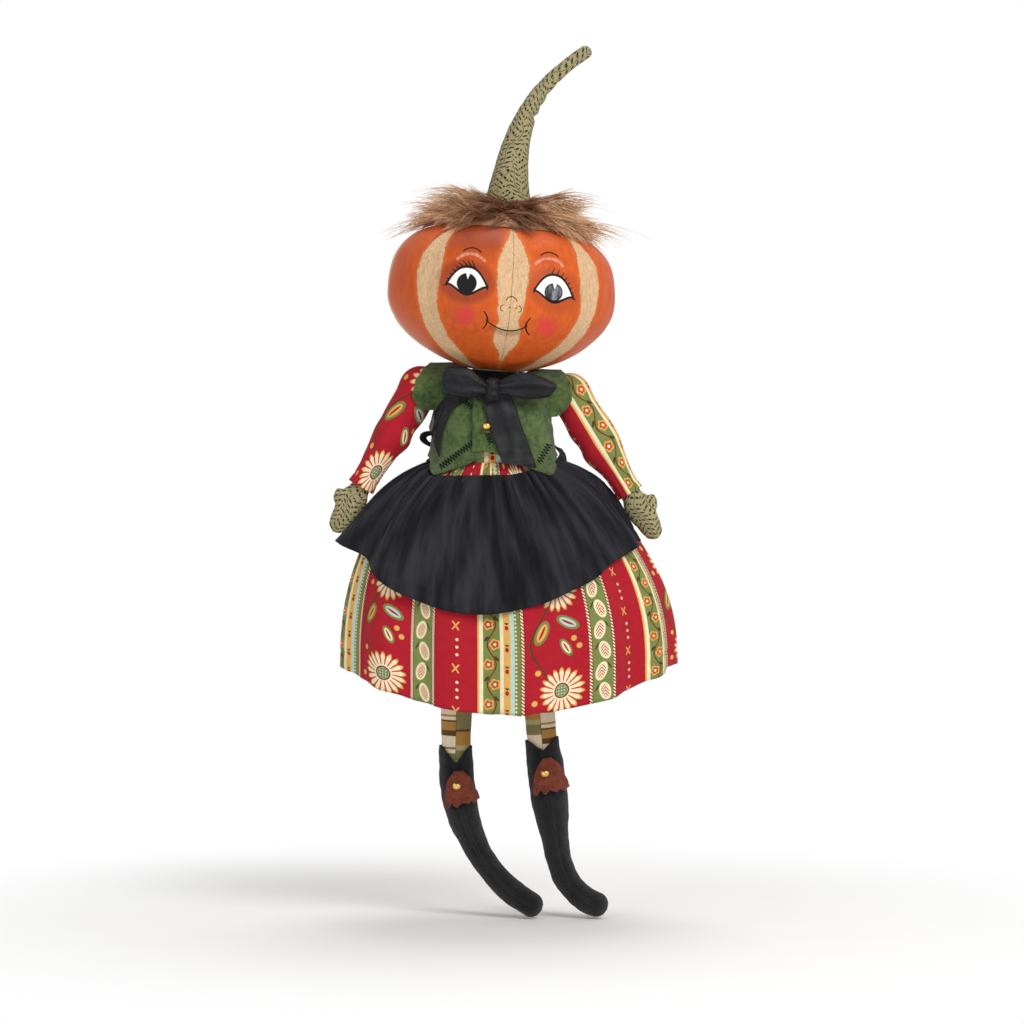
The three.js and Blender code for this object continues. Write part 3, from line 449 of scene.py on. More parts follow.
class Finish:
    """A material under way: its nodes, and short ways to add them."""

    def __init__(self, name, **constants):
        self.material = bpy.data.materials.new(name)
        self.material.use_nodes = True
        self.nodes = self.material.node_tree.nodes
        self.links = self.material.node_tree.links
        self.shader = self.nodes["Principled BSDF"]
        for socket, value in constants.items():
            self.shader.inputs[socket.replace("_", " ")].default_value = value

    def node(self, kind, settings=None, sockets=None):
        """A node of that type, with its settings, and values or links on its sockets."""
        made = self.nodes.new("ShaderNode" + kind)
        for name, value in (settings or {}).items():
            setattr(made, name, value)
        for name, value in (sockets or {}).items():
            socket = made.inputs[name]
            value = value.socket if isinstance(value, Value) else value
            if isinstance(value, bpy.types.NodeSocket):
                self.links.new(value, socket)
            else:
                socket.default_value = value
        return made

    def math(self, operation, *numbers):
        made = self.node("Math", {"operation": operation}, dict(enumerate(numbers)))
        return Value(self, made.outputs[0])

    def sine(self, value):
        return self.math("SINE", value)

    def least(self, *values):
        result = values[0]
        for value in values[1:]:
            result = self.math("MINIMUM", result, value)
        return result

    def most(self, *values):
        result = values[0]
        for value in values[1:]:
            result = self.math("MAXIMUM", result, value)
        return result

    def length(self, x, y):
        return self.math("SQRT", x * x + y * y)

    def ease(self, value, low, high):
        """0 where value is low, 1 where it is high, smooth between. low may be the larger."""
        sockets = {"Value": value, "From Min": low, "From Max": high}
        made = self.node("MapRange", {"interpolation_type": "SMOOTHSTEP"}, sockets)
        return Value(self, made.outputs[0])

    def inside(self, distance, edge, soft):
        """1 where a distance is under edge, fading out over soft."""
        return self.ease(distance, edge + soft / 2, edge - soft / 2)

    def place(self):
        """Object coordinates in millimetres."""
        coordinates = self.node("TexCoord").outputs["Object"]
        made = self.node("VectorMath", {"operation": "SCALE"}, {0: coordinates, "Scale": 1 / MM})
        return made.outputs[0]

    def cloth(self):
        """The piece's own cloth map, in millimetres."""
        return self.node("UVMap", {"uv_map": CLOTH_MAP}).outputs[0]

    def parts(self, vector):
        made = self.node("SeparateXYZ", None, {0: vector})
        return [Value(self, socket) for socket in made.outputs]

    def vector(self, x=0, y=0, z=0):
        return self.node("CombineXYZ", None, {0: x, 1: y, 2: z}).outputs[0]

    def scaled(self, vector, x, y, z):
        made = self.node("VectorMath", {"operation": "MULTIPLY"}, {0: vector, 1: (x, y, z)})
        return made.outputs[0]

    def noise(self, vector, size, detail=2, roughness=0.5):
        """Smooth noise from 0 to 1, with features of about size millimetres."""
        sockets = {"Vector": vector, "Scale": 1 / size, "Detail": detail, "Roughness": roughness}
        return Value(self, self.node("TexNoise", None, sockets).outputs["Fac"])

    def mixed(self, mask, under, over):
        """The colour over where mask is 1, and under where it is 0."""
        sockets = {0: mask, 6: under, 7: over}
        return self.node("Mix", {"data_type": "RGBA"}, sockets).outputs[2]

    def layered(self, colour, *layers):
        """Paints (mask, colour) layers over a colour, one after the other."""
        for mask, over in layers:
            colour = self.mixed(mask, colour, over)
        return colour

    def feed(self, **inputs):
        for name, value in inputs.items():
            socket = self.shader.inputs[name.replace("_", " ")]
            self.links.new(value.socket if isinstance(value, Value) else value, socket)

    def bump(self, height, depth, strength=1):
        """Raises the surface by height, where 1 stands for depth millimetres."""
        before = self.shader.inputs["Normal"].links
        sockets = {"Height": height, "Distance": depth * MM, "Strength": strength}
        if before:
            sockets["Normal"] = before[0].from_socket
        self.feed(Normal=self.node("Bump", None, sockets).outputs[0])

    def weave(self, vector, pitch):
        """The crowns of a plain weave with that pitch, from 0 to 1."""
        u, v, _ = self.parts(vector)
        turn = pi / pitch
        over = self.sine(u * turn) * self.sine(v * turn)
        return abs(over) ** 0.5


# Colours of the cloths
RED = paint(172, 28, 42)
DARK_RED = paint(120, 16, 30)
GOLD_THREAD = paint(222, 172, 88)
CREAM = paint(238, 224, 186)
LEAF_GREEN = paint(120, 132, 70)
DARK_LEAF = paint(66, 62, 30)
PALE_BLUE = paint(186, 208, 196)
RUST = paint(190, 70, 34)
INK = paint(14, 12, 12)

# Settings that all the printed and woven cottons share
COTTON = {"Specular_IOR_Level": 0.15, "Sheen_Weight": 0.05}


def ellipse(finish, x, y, half_width, half_height, turn=0, soft=0.25):
    """A mask of an ellipse about the origin of x and y, turned by an angle."""
    c, s = cos(turn), sin(turn)
    a = (x * c + y * s) / half_width
    b = (y * c - x * s) / half_height
    return finish.inside(finish.length(a, b), 1, soft)


def repeat(value, pitch, phase=0.0):
    """Where value lies in a row of cells of that pitch, measured from a cell's middle."""
    return (value + pitch * (0.5 + phase)) % pitch - pitch / 2


def blossom(finish, x, y, radius, petals, soft=0.2):
    """A mask of a round flower whose rim is cut into petals."""
    angle = finish.math("ARCTAN2", y, x)
    rim = 0.72 + 0.28 * abs(finish.sine(angle * (petals / 2)))
    return finish.inside(finish.length(x, y) / (rim * radius), 1, soft)


def leaf_band(finish, x, v, ground):
    """Gold leaves with red veins that lean to one side and the other, down a green band."""
    PITCH, ASIDE, TILT = 13, 1.1, radians(-16)
    LEAF, MIDDLE, TWIG = (3.4, 5.9), (2.3, 4.4), (0.5, 2.6)
    TWIG_ASIDE, TWIG_RISE, TWIG_TILT = 3.6, 3, radians(30)
    VEIN_SLANT, VEIN_TURNS, VEIN_EDGE = 1.3, 3.1, 0.25
    lean = 1 - 2 * (repeat(v, PITCH * 2) > 0)
    y = repeat(v, PITCH, 0.5)
    dx = (x + lean * ASIDE) * lean
    leaf = ellipse(finish, dx, y, *LEAF, TILT, soft=0.12)
    middle = ellipse(finish, dx, y, *MIDDLE, TILT, soft=0.2)
    vein = finish.sine((abs(dx) * VEIN_SLANT + y) * VEIN_TURNS) > VEIN_EDGE
    twig = ellipse(finish, (x - lean * TWIG_ASIDE) * lean, y - TWIG_RISE, *TWIG, TWIG_TILT, soft=0.4)
    return finish.layered(ground, (twig, DARK_LEAF), (leaf, CREAM), (middle * vein, RED))


def cross_band(finish, x, v, ground):
    """Little gold crosses with dots between them."""
    PITCH = 26
    CROSS_REACH, ARM_HALF_WIDTH, ARM_SLOPES = 3.2, 0.55, (0.8, 0.7)
    DOT_PITCH, DOT_RADIUS, DOT_ASIDE, DOTS_REACH = 4.6, 0.85, 0.8, 7
    y = repeat(v, PITCH)
    close = finish.inside(finish.length(x, y), CROSS_REACH, soft=0.3)
    arm = finish.least(abs(x - y * ARM_SLOPES[0]), abs(x + y * ARM_SLOPES[1])) < ARM_HALF_WIDTH
    dots = repeat(v, PITCH, 0.5)
    dot = finish.inside(finish.length(x - DOT_ASIDE, repeat(dots, DOT_PITCH)), DOT_RADIUS, soft=0.5)
    between = abs(dots) < DOTS_REACH
    return finish.layered(ground, (close * arm, GOLD_THREAD), (dot * between, CREAM))


def vine_band(finish, x, v, ground):
    """A winding red stem with flowers in its bends."""
    PITCH, SWING, STEM_HALF = 24, 2.6, 0.42
    PETALS, FLOWER, HEART, EYE, ASIDE = 5, 3.5, 2.5, 0.9, 1.9
    LEAF, LEAF_ASIDE, LEAF_RISE, LEAF_TILT = (0.8, 2), 3, 3.4, radians(-40)
    line = finish.inside(abs(x - finish.sine(v * (2 * pi / PITCH)) * SWING), STEM_HALF, soft=0.4)
    side = 1 - 2 * (repeat(v, PITCH) > 0)
    y = repeat(v, PITCH / 2, 0.5)
    dx = x - side * ASIDE
    flower = blossom(finish, dx, y, FLOWER, PETALS)
    heart = blossom(finish, dx, y, HEART, PETALS)
    eye = finish.inside(finish.length(dx, y), EYE, soft=0.3)
    leaf = ellipse(finish, (x + side * LEAF_ASIDE) * side, y - LEAF_RISE, *LEAF, LEAF_TILT, soft=0.4)
    layers = [(line, DARK_RED), (leaf, DARK_LEAF), (flower, GOLD_THREAD)]
    return finish.layered(ground, *layers, (heart, RUST), (eye, CREAM))


def garden_band(finish, x, v, ground):
    """Large gold and cream flowers on a curved stem, with leaves and berries between them."""
    PITCH = 62
    LEAVES = ((8, -9, 62, 7.5, PALE_BLUE), (-9, -14, -28, 8, GOLD_THREAD), (6, -24, 30, 6, CREAM))
    LEAF_LAYERS = ((0.46, 1, 0.1), (0.3, 0.74, 0.15), (0.09, 0.6, 0.3))
    BERRIES = ((11, -19), (14, -24), (-14, 6), (-12, 24))
    BERRY_RADIUS = 1.7
    STEM_ASIDE, STEM_PHASE, STEM_SWING, STEM_HALF = 9, 6, 7, 0.6
    PETALS, FLOWER, RIM, PETAL_REACH = 18, (3, 12), 14, 12.6
    SPOKE, FLAME, FLAME_HALF = 0.45, 8.2, 2.6
    RING, RING_HALF, HEART, SEED, SEED_PITCH = 4.2, 0.5, 3.6, 0.5, 1.8
    y = repeat(v, PITCH)
    stem = x + STEM_ASIDE - finish.sine((y + STEM_PHASE) * (2 * pi / PITCH)) * STEM_SWING
    line = finish.inside(abs(stem), STEM_HALF, soft=0.4)
    fx, fy = x - FLOWER[0], y - FLOWER[1]
    rim = blossom(finish, fx, fy, RIM, PETALS, soft=0.1)
    petals = blossom(finish, fx, fy, PETAL_REACH, PETALS, soft=0.1)
    far = finish.length(fx, fy)
    angle = finish.math("ARCTAN2", fy, fx)
    spoke = abs(finish.sine(angle * (PETALS / 2))) < SPOKE
    flame = spoke * finish.inside(abs(far - FLAME), FLAME_HALF, soft=1.2)
    ring = finish.inside(abs(far - RING), RING_HALF, soft=0.5)
    heart = finish.inside(far, HEART, soft=0.6)
    grain = finish.length(repeat(fx, SEED_PITCH), repeat(fy, SEED_PITCH))
    seeds = finish.inside(grain, SEED, soft=0.3) * heart
    layers = [(line, DARK_LEAF), (rim, GOLD_THREAD), (petals, CREAM), (flame, paint(196, 52, 36))]
    layers += [(ring, DARK_RED), (heart, LEAF_GREEN), (seeds, PALE_BLUE)]
    for px, py, turn, size, colour in LEAVES:
        dx, dy = x - px, y - py
        for (width, height, soft), shade in zip(LEAF_LAYERS, (LEAF_GREEN, colour, RED)):
            leaf = ellipse(finish, dx, dy, size * width, size * height, radians(turn), soft)
            layers.append((leaf, shade))
    for px, py in BERRIES:
        layers.append((finish.inside(finish.length(x - px, y - py), BERRY_RADIUS, soft=0.4), GOLD_THREAD))
    return finish.layered(ground, *layers)


def dash_band(finish, x, v, ground):
    """A row of slanting cream dashes, like stitches."""
    PITCH, SLANT, HALF_WIDTH, HALF_HEIGHT = 2.1, 0.9, 0.8, 0.62
    dash = (abs(repeat(v + x * SLANT, PITCH)) < HALF_HEIGHT) * (abs(x) < HALF_WIDTH)
    return finish.layered(ground, (dash, CREAM))


def berry_band(finish, x, v, ground):
    """A row of red berries, each under its stalk."""
    PITCH, BERRY = 13, (1.1, 1.4)
    STALK, STALK_RISE, STALK_TILT = (1.3, 0.55), 2.4, 0.5
    y = repeat(v, PITCH)
    berry = ellipse(finish, x, y, *BERRY, soft=0.3)
    stalk = ellipse(finish, abs(x), y - STALK_RISE, *STALK, STALK_TILT, soft=0.4)
    return finish.layered(ground, (berry, RED), (stalk, DARK_LEAF))


def dot_band(finish, x, v, ground):
    """A row of small cream dots near one edge."""
    PITCH, ASIDE, RADIUS, SOFT = 2.4, 0.9, 0.6, 0.4
    dot = finish.inside(finish.length(x + ASIDE, repeat(v, PITCH)), RADIUS, SOFT)
    return finish.layered(ground, (dot, CREAM))


def plain_band(finish, x, v, ground):
    """A band of one colour, with nothing drawn on it."""
    return ground


def print_colour(finish, u, v):
    """A floral stripe down the cloth: u runs across the stripes and v along them."""
    REPEAT = 108
    DASHES = (2.3, dash_band, DARK_RED)
    BANDS = (
        (12, leaf_band, LEAF_GREEN),
        DASHES,
        (25, cross_band, RED),
        (1.1, plain_band, GOLD_THREAD),
        (2.2, plain_band, CREAM),
        (10, vine_band, LEAF_GREEN),
        (2.2, plain_band, CREAM),
        (4, berry_band, GOLD_THREAD),
        (2.6, plain_band, PALE_BLUE),
        (3.4, dot_band, LEAF_GREEN),
        DASHES,
        (38.6, garden_band, RED),
        DASHES,
    )
    place = u % REPEAT
    colour = RED
    start = 0
    for width, drawn, ground in BANDS:
        mask = (place > start) * (place < start + width)
        band = drawn(finish, place - (start + width / 2), v, ground)
        colour = finish.mixed(mask, colour, band)
        start += width
    return colour


def faded(finish, colour, vector, size, low=0.82):
    """Uneven dye: the colour is a little darker here and there."""
    worn = finish.noise(vector, size, 3)
    shade = low + (1.12 - low) * worn
    sockets = {0: 1, 6: colour, 7: finish.vector(shade, shade, shade)}
    return finish.node("Mix", {"data_type": "RGBA", "blend_type": "MULTIPLY"}, sockets).outputs[2]


def print_cloth():
    """Printed quilting cotton. The stripes run along the cloth map's v."""
    finish = Finish("print_cloth", Roughness=0.85, **COTTON)
    cloth = finish.cloth()
    u, v, _ = finish.parts(cloth)
    finish.feed(Base_Color=faded(finish, print_colour(finish, u, v), cloth, 5))
    finish.bump(finish.weave(cloth, 0.45), depth=0.06, strength=0.5)
    finish.bump(finish.noise(cloth, size=14, detail=2), depth=1.0, strength=0.35)
    return finish.material


def sprig_cloth():
    """Olive cotton with small dark sprigs that climb along winding stalks."""
    PITCH, SPACING, STAGGER = 6.4, 2.9, 0.45
    NEAR_SWING, WIDE_SWING = 1.5, 1.2
    STALK_HALF, LEAF, LEAF_OUT, LEAF_TILT = 0.14, (1.3, 0.46), 1.45, radians(42)
    BUD, BUD_SPACING, BUD_TILT = (0.9, 0.36), SPACING * 1.3, radians(64)
    finish = Finish("sprig_cloth", Roughness=0.88, **COTTON)
    cloth = finish.cloth()
    u, v, _ = finish.parts(cloth)
    near, wide = finish.sine(v * 0.31), finish.sine(v * 0.13 + u * 0.2)
    winding = u + near * NEAR_SWING + wide * WIDE_SWING
    x = repeat(winding, PITCH)
    up = 1 - 2 * (repeat(winding, PITCH * 2) > 0)
    stalk = finish.inside(abs(x), STALK_HALF, soft=0.16)
    y = repeat(v * up + (x > 0) * (SPACING * STAGGER), SPACING)
    leaf = ellipse(finish, abs(x) - LEAF_OUT, y, *LEAF, LEAF_TILT, soft=0.3)
    printed = finish.noise(cloth, size=3.6, detail=1) > 0.36
    bud = ellipse(finish, abs(x) - PITCH / 2, repeat(v, BUD_SPACING), *BUD, BUD_TILT, soft=0.4)
    colour = finish.layered(
        faded(finish, paint(163, 151, 112), cloth, 4),
        (finish.most(stalk, leaf * printed, bud), paint(44, 54, 42)),
    )
    finish.feed(Base_Color=colour)
    finish.bump(finish.weave(cloth, 0.4), depth=0.06, strength=0.5)
    finish.bump(finish.noise(cloth, size=7, detail=2), depth=0.7, strength=0.4)
    return finish.material


def felt(name, light, dark):
    """Pressed wool: a mottled colour, short fibres every way and a soft sheen."""
    sheen = {"Sheen_Weight": 0.18, "Sheen_Roughness": 0.6}
    finish = Finish(name, Roughness=0.95, Specular_IOR_Level=0.08, **sheen)
    place = finish.place()
    mottle = finish.noise(place, size=2.4, detail=4, roughness=0.65)
    fibres = finish.noise(finish.scaled(place, 1, 3, 3), size=0.7, detail=3, roughness=0.7)
    cross = finish.noise(finish.scaled(place, 3, 2, 0.8), size=0.7, detail=3, roughness=0.7)
    tangle = finish.most(fibres, cross)
    blotch = finish.noise(place, size=11, detail=2)
    mask = finish.ease(mottle * 0.45 + tangle * 0.45 + blotch * 0.35, 0.48, 0.82)
    finish.feed(Base_Color=finish.mixed(mask, dark, light))
    finish.bump(tangle, depth=0.5, strength=0.9)
    finish.bump(mottle, depth=0.6, strength=0.5)
    return finish.material


def black_cotton():
    """Plain black broadcloth with a faint weave, specks of lint and painted fold shading: lighter streaks
    along its creases.
    """
    sheen = {"Sheen_Weight": 0.06, "Sheen_Roughness": 0.35}
    finish = Finish("black_cotton", Roughness=0.75, Specular_IOR_Level=0.06, **sheen)
    cloth = finish.cloth()
    crowns = finish.weave(cloth, 0.5)
    worn = finish.noise(cloth, size=16, detail=3)
    specks = finish.noise(finish.scaled(cloth, 1, 0.35, 1), size=0.9, detail=2)
    lint = finish.ease(specks, 0.74, 0.8)
    shade = finish.ease(worn * 0.6 + crowns * 0.4, 0.3, 0.9)
    # Painted fold shading: crease noise lightens the colour in streaks, standing for light on the fold
    # ridges; the creases also bump the surface
    creases = finish.noise(finish.scaled(cloth, 1, 0.14, 1), size=8, detail=3)
    broad_fold_shade = finish.noise(finish.scaled(cloth, 1, 0.2, 1), size=20, detail=2)
    streaks = finish.ease(creases * 0.7 + broad_fold_shade * 0.5, 0.45, 0.8)
    colour = finish.mixed(shade, paint(15, 15, 18), paint(32, 32, 36))
    # painted light on the folds: the streaks lighten the black towards a grey
    colour = finish.mixed(streaks * 0.75, colour, paint(58, 58, 64))
    finish.feed(Base_Color=finish.mixed(lint * 0.35, colour, paint(90, 90, 94)))
    finish.bump(crowns, depth=0.06, strength=0.5)
    finish.bump(creases, depth=4.5, strength=1.0)
    return finish.material


def organza(width):
    """Sheer black ribbon: open between its threads, dense along its two woven edges."""
    EDGE = 0.7
    finish = Finish("organza_%d" % width, Roughness=0.45, Specular_IOR_Level=0.22, Sheen_Weight=0.05)
    cloth = finish.cloth()
    u, _, _ = finish.parts(cloth)
    edge = finish.most(*[finish.inside(off, EDGE, soft=0.3) for off in (u, width - u)])
    threads = finish.weave(cloth, 0.55)
    moire = finish.noise(finish.scaled(cloth, 1, 0.2, 1), size=3, detail=2)
    shade = finish.ease(moire * 0.7 + threads * 0.3, 0.3, 0.8)
    colour = finish.mixed(shade, paint(12, 12, 14), paint(44, 44, 48))
    finish.feed(Base_Color=finish.mixed(edge, colour, paint(8, 8, 9)))
    finish.feed(Alpha=finish.most(edge, 0.58 + 0.16 * threads + 0.14 * moire))
    finish.bump(threads, depth=0.08, strength=0.5)
    return finish.material


def striped_cloth(side):
    """Woven stripes across a leg, out of step on the two sides of its seam."""
    STOCKING_TOP = 76.2
    left_phase, right_phase = {LEFT: (54.2, 19.3), RIGHT: (34.4, 49.2)}[side]
    finish = Finish("striped_cloth_" + SIDE_NAMES[side], Roughness=0.88, **COTTON)
    cloth = finish.cloth()
    u, v, _ = finish.parts(cloth)
    ochre, olive, brown = paint(176, 134, 66), paint(134, 128, 86), paint(98, 70, 42)
    pale_olive, light = paint(176, 166, 120), paint(232, 214, 188)
    BANDS = (
        (1, brown), (5, ochre), (3.3, brown), (6.5, light), (1.3, olive), (2.3, light), (11, olive),
        (1.3, brown), (8, ochre), (3, pale_olive), (6, olive), (8, light), (1.2, ochre), (2, light),
    )
    repeats = sum(width for width, _ in BANDS)
    left_half = u > 0
    phase = right_phase + (left_phase - right_phase) * left_half
    drop = (v - STOCKING_TOP + phase + repeats) % repeats
    layers = []
    start = 0
    for width, shade in BANDS:
        layers.append(((drop > start) * (drop < start + width), shade))
        start += width
    seam = finish.inside(abs(abs(u) - pi * THIGH_RADIUS), 0.3, 0.4)
    colour = finish.layered(light, *layers, (seam * 0.5, paint(70, 54, 34)))
    finish.feed(Base_Color=faded(finish, colour, cloth, 3))
    finish.bump(finish.weave(cloth, 0.5), depth=0.08, strength=0.6)
    finish.bump(finish.noise(cloth, size=6, detail=2), depth=0.7, strength=0.35)
    return finish.material


def muslin():
    """Unbleached cotton of the body under the clothes."""
    finish = Finish("muslin", Roughness=0.9, Sheen_Weight=0.08)
    place = finish.place()
    slub = finish.noise(finish.scaled(place, 1, 1, 0.15), size=1.2, detail=2)
    finish.feed(Base_Color=finish.mixed(slub, paint(206, 188, 152), paint(228, 214, 184)))
    finish.bump(slub, depth=0.15, strength=0.6)
    return finish.material


def fur_strands():
    """Faux fur: each strand has its own brown, dark at the root and pale towards the tip."""
    finish = Finish("faux_fur", Roughness=0.42, Specular_IOR_Level=0.35)
    own, root_to_tip, _ = finish.parts(finish.cloth())
    tip = finish.ease(root_to_tip, 0.1, 0.95)
    base = finish.mixed(own, paint(112, 66, 44), paint(206, 150, 104))
    light = finish.mixed(own, paint(176, 122, 82), paint(246, 206, 160))
    finish.feed(Base_Color=finish.mixed(tip, base, light))
    return finish.material


def gold_bead():
    """A small plated bead, a little dulled by handling."""
    finish = Finish("gold_bead", Metallic=1.0)
    place = finish.place()
    dull = finish.noise(place, size=0.9, detail=3)
    finish.feed(Base_Color=finish.mixed(dull, paint(236, 200, 120), paint(206, 160, 84)))
    finish.feed(Roughness=0.16 + 0.22 * dull)
    return finish.material


def sewing_thread(name, dark, light):
    """Twisted thread: light and dark turn round it."""
    finish = Finish(name, Roughness=0.8, Specular_IOR_Level=0.08)
    place = finish.place()
    x, y, z = finish.parts(place)
    twist = finish.sine((x + y * 0.7 + z * 0.8) * 9)
    finish.feed(Base_Color=finish.mixed(finish.ease(twist, -1, 1), dark, light))
    return finish.material


# The painted head: places are (x, z) millimetres in the head's own frame, seen from the front
EYES = {
    LEFT: {
        "middle": (-19.1, 6.2), "half": 11.5, "rise": 10.5, "dip": 4.9, "slope": -0.03,
        "pupil": (-19.3, 7.4), "radius": 5.3,
        "fan": (7.6, 2.8), "spacing": radians(9), "lash": 0.46, "shadow": 0.85,
    },
    RIGHT: {
        "middle": (30.0, 5.2), "half": 11.0, "rise": 10.7, "dip": 4.6, "slope": -0.1,
        "pupil": (29.9, 6.0), "radius": 4.8,
        "fan": (-22, -36), "spacing": radians(2.9), "lash": 0.34, "shadow": 0.4,
    },
}
BROWS = {LEFT: (-17.6, 27.6), RIGHT: (26.0, 28.4)}
BLUSHES = {LEFT: (-18.8, -10.8), RIGHT: (27.5, -13.9)}
MOUTH_LEFT, MOUTH_LOW, MOUTH_RIGHT = (-7.0, -12.2), (5.6, -17.4), (16.6, -14.0)
NOSE = (6.6, -1.2)
FACE_DROP = 1.4


def arc(finish, x, z, middle, radius, thickness, half_turn, up=1, soft=0.3):
    """A painted arc of a circle whose crown is at middle, and which reaches half_turn to each side."""
    dx = x - middle[0]
    dz = (z - middle[1]) * up + radius
    angle = abs(finish.math("ARCTAN2", dx, dz))
    line = finish.inside(abs(finish.length(dx, dz) - radius), thickness, soft)
    return line * (angle < half_turn)


def painted_eye(finish, x, z, side, strokes):
    """Layers of one almond eye: shadow, lashes, white, iris, notch of light and outline; the right iris is
    grey, a painted glare.
    """
    LID, LOWER_LID, LASH_LENGTH = 0.75, 0.95, 3.9
    TAIL_SLOPE, TAIL_LENGTH, TAIL_HALF = 0.7, 1.8, 0.4
    NOTCH_HALF, NOTCH_NARROWING, NOTCH_DEPTH, NOTCH_ASIDE = 1.05, 0.34, 3.1, 0.4
    SHADOW_SHARE, SHADOW_HALF_HEIGHT, SHADOW_RISE = 1.42, 12.2, 2.2
    LASHES_FROM, LASHES_TO = -0.36, 1.02
    eye = EYES[side]
    half = eye["half"]
    dx = x - eye["middle"][0]
    dz = z - eye["middle"][1] - dx * eye["slope"]
    share = finish.least(abs(dx) / half, 1)
    upper = eye["rise"] * (1 - share**2.3)
    lower = -eye["dip"] * (1 - share**2) ** 2.2
    above, below = dz - upper, lower - dz
    white = finish.inside(finish.most(above, below), 0, 0.3) * (abs(dx) < half)
    within = abs(dx) < half + 0.6
    steep = 1 + 0.9 * share**3
    lid = finish.inside(abs(above), LID * steep, 0.4 * steep) * within
    underlid = finish.inside(abs(below), LOWER_LID - 0.35 * share, soft=0.4) * within
    outward = dx * side
    tail = finish.inside(abs(dz + (outward - half) * TAIL_SLOPE), TAIL_HALF, soft=0.4)
    tail = tail * (outward > half) * (outward < half + TAIL_LENGTH)
    far = finish.length(x - eye["pupil"][0], z - eye["pupil"][1])
    iris = finish.inside(far, eye["radius"], 0.35) * (below < 0.2) * (above < 0)
    ring = finish.inside(abs(far - eye["radius"]), 0.35, 0.3) * white
    notch_drop = eye["pupil"][1] + eye["radius"] - z
    notch_width = NOTCH_HALF - notch_drop * NOTCH_NARROWING
    notch = (abs(x - eye["pupil"][0] - NOTCH_ASIDE) < notch_width) * (notch_drop < NOTCH_DEPTH) * white
    shadow_half = (half * SHADOW_SHARE, SHADOW_HALF_HEIGHT)
    shade = ellipse(finish, dx - side * 0.5, dz - SHADOW_RISE, *shadow_half, soft=0.35)
    fan_x, fan_z = dx - eye["fan"][0], dz - eye["fan"][1]
    fan = finish.math("ARCTAN2", fan_x, fan_z)
    outer = (outward > half * LASHES_FROM) * (outward < half * LASHES_TO)
    taper = eye["lash"] * (1.25 - 0.22 * above)
    lash = finish.inside(abs(repeat(fan, eye["spacing"])) * finish.length(fan_x, fan_z), taper, 0.3)
    lashes = lash * outer * (above > 0) * (above < LASH_LENGTH) * (dz > 1)
    # painted reflection: the right iris is grey streaked with lighter grey, standing for glare on its
    # glossy paint, instead of ink
    painted_glare = finish.mixed(strokes, paint(40, 42, 46), paint(136, 138, 142))
    return [
        (shade * (0.7 + 0.3 * strokes) * eye["shadow"], paint(140, 56, 38)),
        (lashes, INK),
        (white, paint(243, 241, 236)),
        (iris, INK if side == LEFT else painted_glare),
        (ring, INK),
        (notch, paint(246, 246, 242)),
        (finish.most(lid, underlid, tail), INK),
    ]


def painted_smile(finish, x, z):
    """Layers of the nose and the mouth, in thin brush lines."""
    LINE, END_LINE, END_HALF, END_BOW = 0.4, 0.48, 4.9, 0.9
    NOSE_RADIUS, NOSE_LINE, NOSTRIL, NOSTRIL_DROP, NOSTRILS = 3.0, 0.26, 0.45, 3.2, (-0.9, 3.0)
    SHADE_DROP, SHADE_HALF = 1.6, 1.4
    WING_RADIUS, WING_LINE, WING_OUT, WING_DROP = 1.7, 0.24, 4.2, 3.8
    share = (x - MOUTH_LEFT[0]) / (MOUTH_RIGHT[0] - MOUTH_LEFT[0])
    straight = MOUTH_LEFT[1] + share * (MOUTH_RIGHT[1] - MOUTH_LEFT[1])
    sag = 4 * (MOUTH_LOW[1] - (MOUTH_LEFT[1] + MOUTH_RIGHT[1]) / 2)
    above = z - straight - sag * share * (1 - share)
    smile = finish.inside(abs(above), LINE, soft=0.35) * (share > 0) * (share < 1)
    ends = []
    for (ex, ez), bow in ((MOUTH_LEFT, 1), (MOUTH_RIGHT, -1)):
        dz = z - ez + 0.3
        bend = ex + bow * (END_BOW - dz * dz * 0.1)
        ends.append(finish.inside(abs(x - bend), END_LINE, soft=0.35) * (abs(dz) < END_HALF))
    nose_x, nose_z = x - NOSE[0], z - NOSE[1]
    tip = arc(finish, nose_x, nose_z, (0, NOSE_RADIUS), NOSE_RADIUS, NOSE_LINE, radians(80))
    dots = []
    for out in NOSTRILS:
        dots.append(finish.inside(finish.length(nose_x - out, nose_z + NOSTRIL_DROP), NOSTRIL, soft=0.4))
    wings = []
    for way in (LEFT, RIGHT):
        out = nose_x - way * WING_OUT
        ring = abs(finish.length(out, nose_z + WING_DROP) - WING_RADIUS)
        wings.append(finish.inside(ring, WING_LINE, soft=0.3) * (out * way > 0))
    shade = finish.inside(abs(above + SHADE_DROP), SHADE_HALF, soft=2.4)
    under = shade * (share > 0.1) * (share < 0.9) * 0.45
    return [
        (under, paint(120, 70, 44)),
        (finish.most(smile, *ends), INK),
        (finish.most(tip, *dots, *wings), paint(62, 36, 24)),
    ]


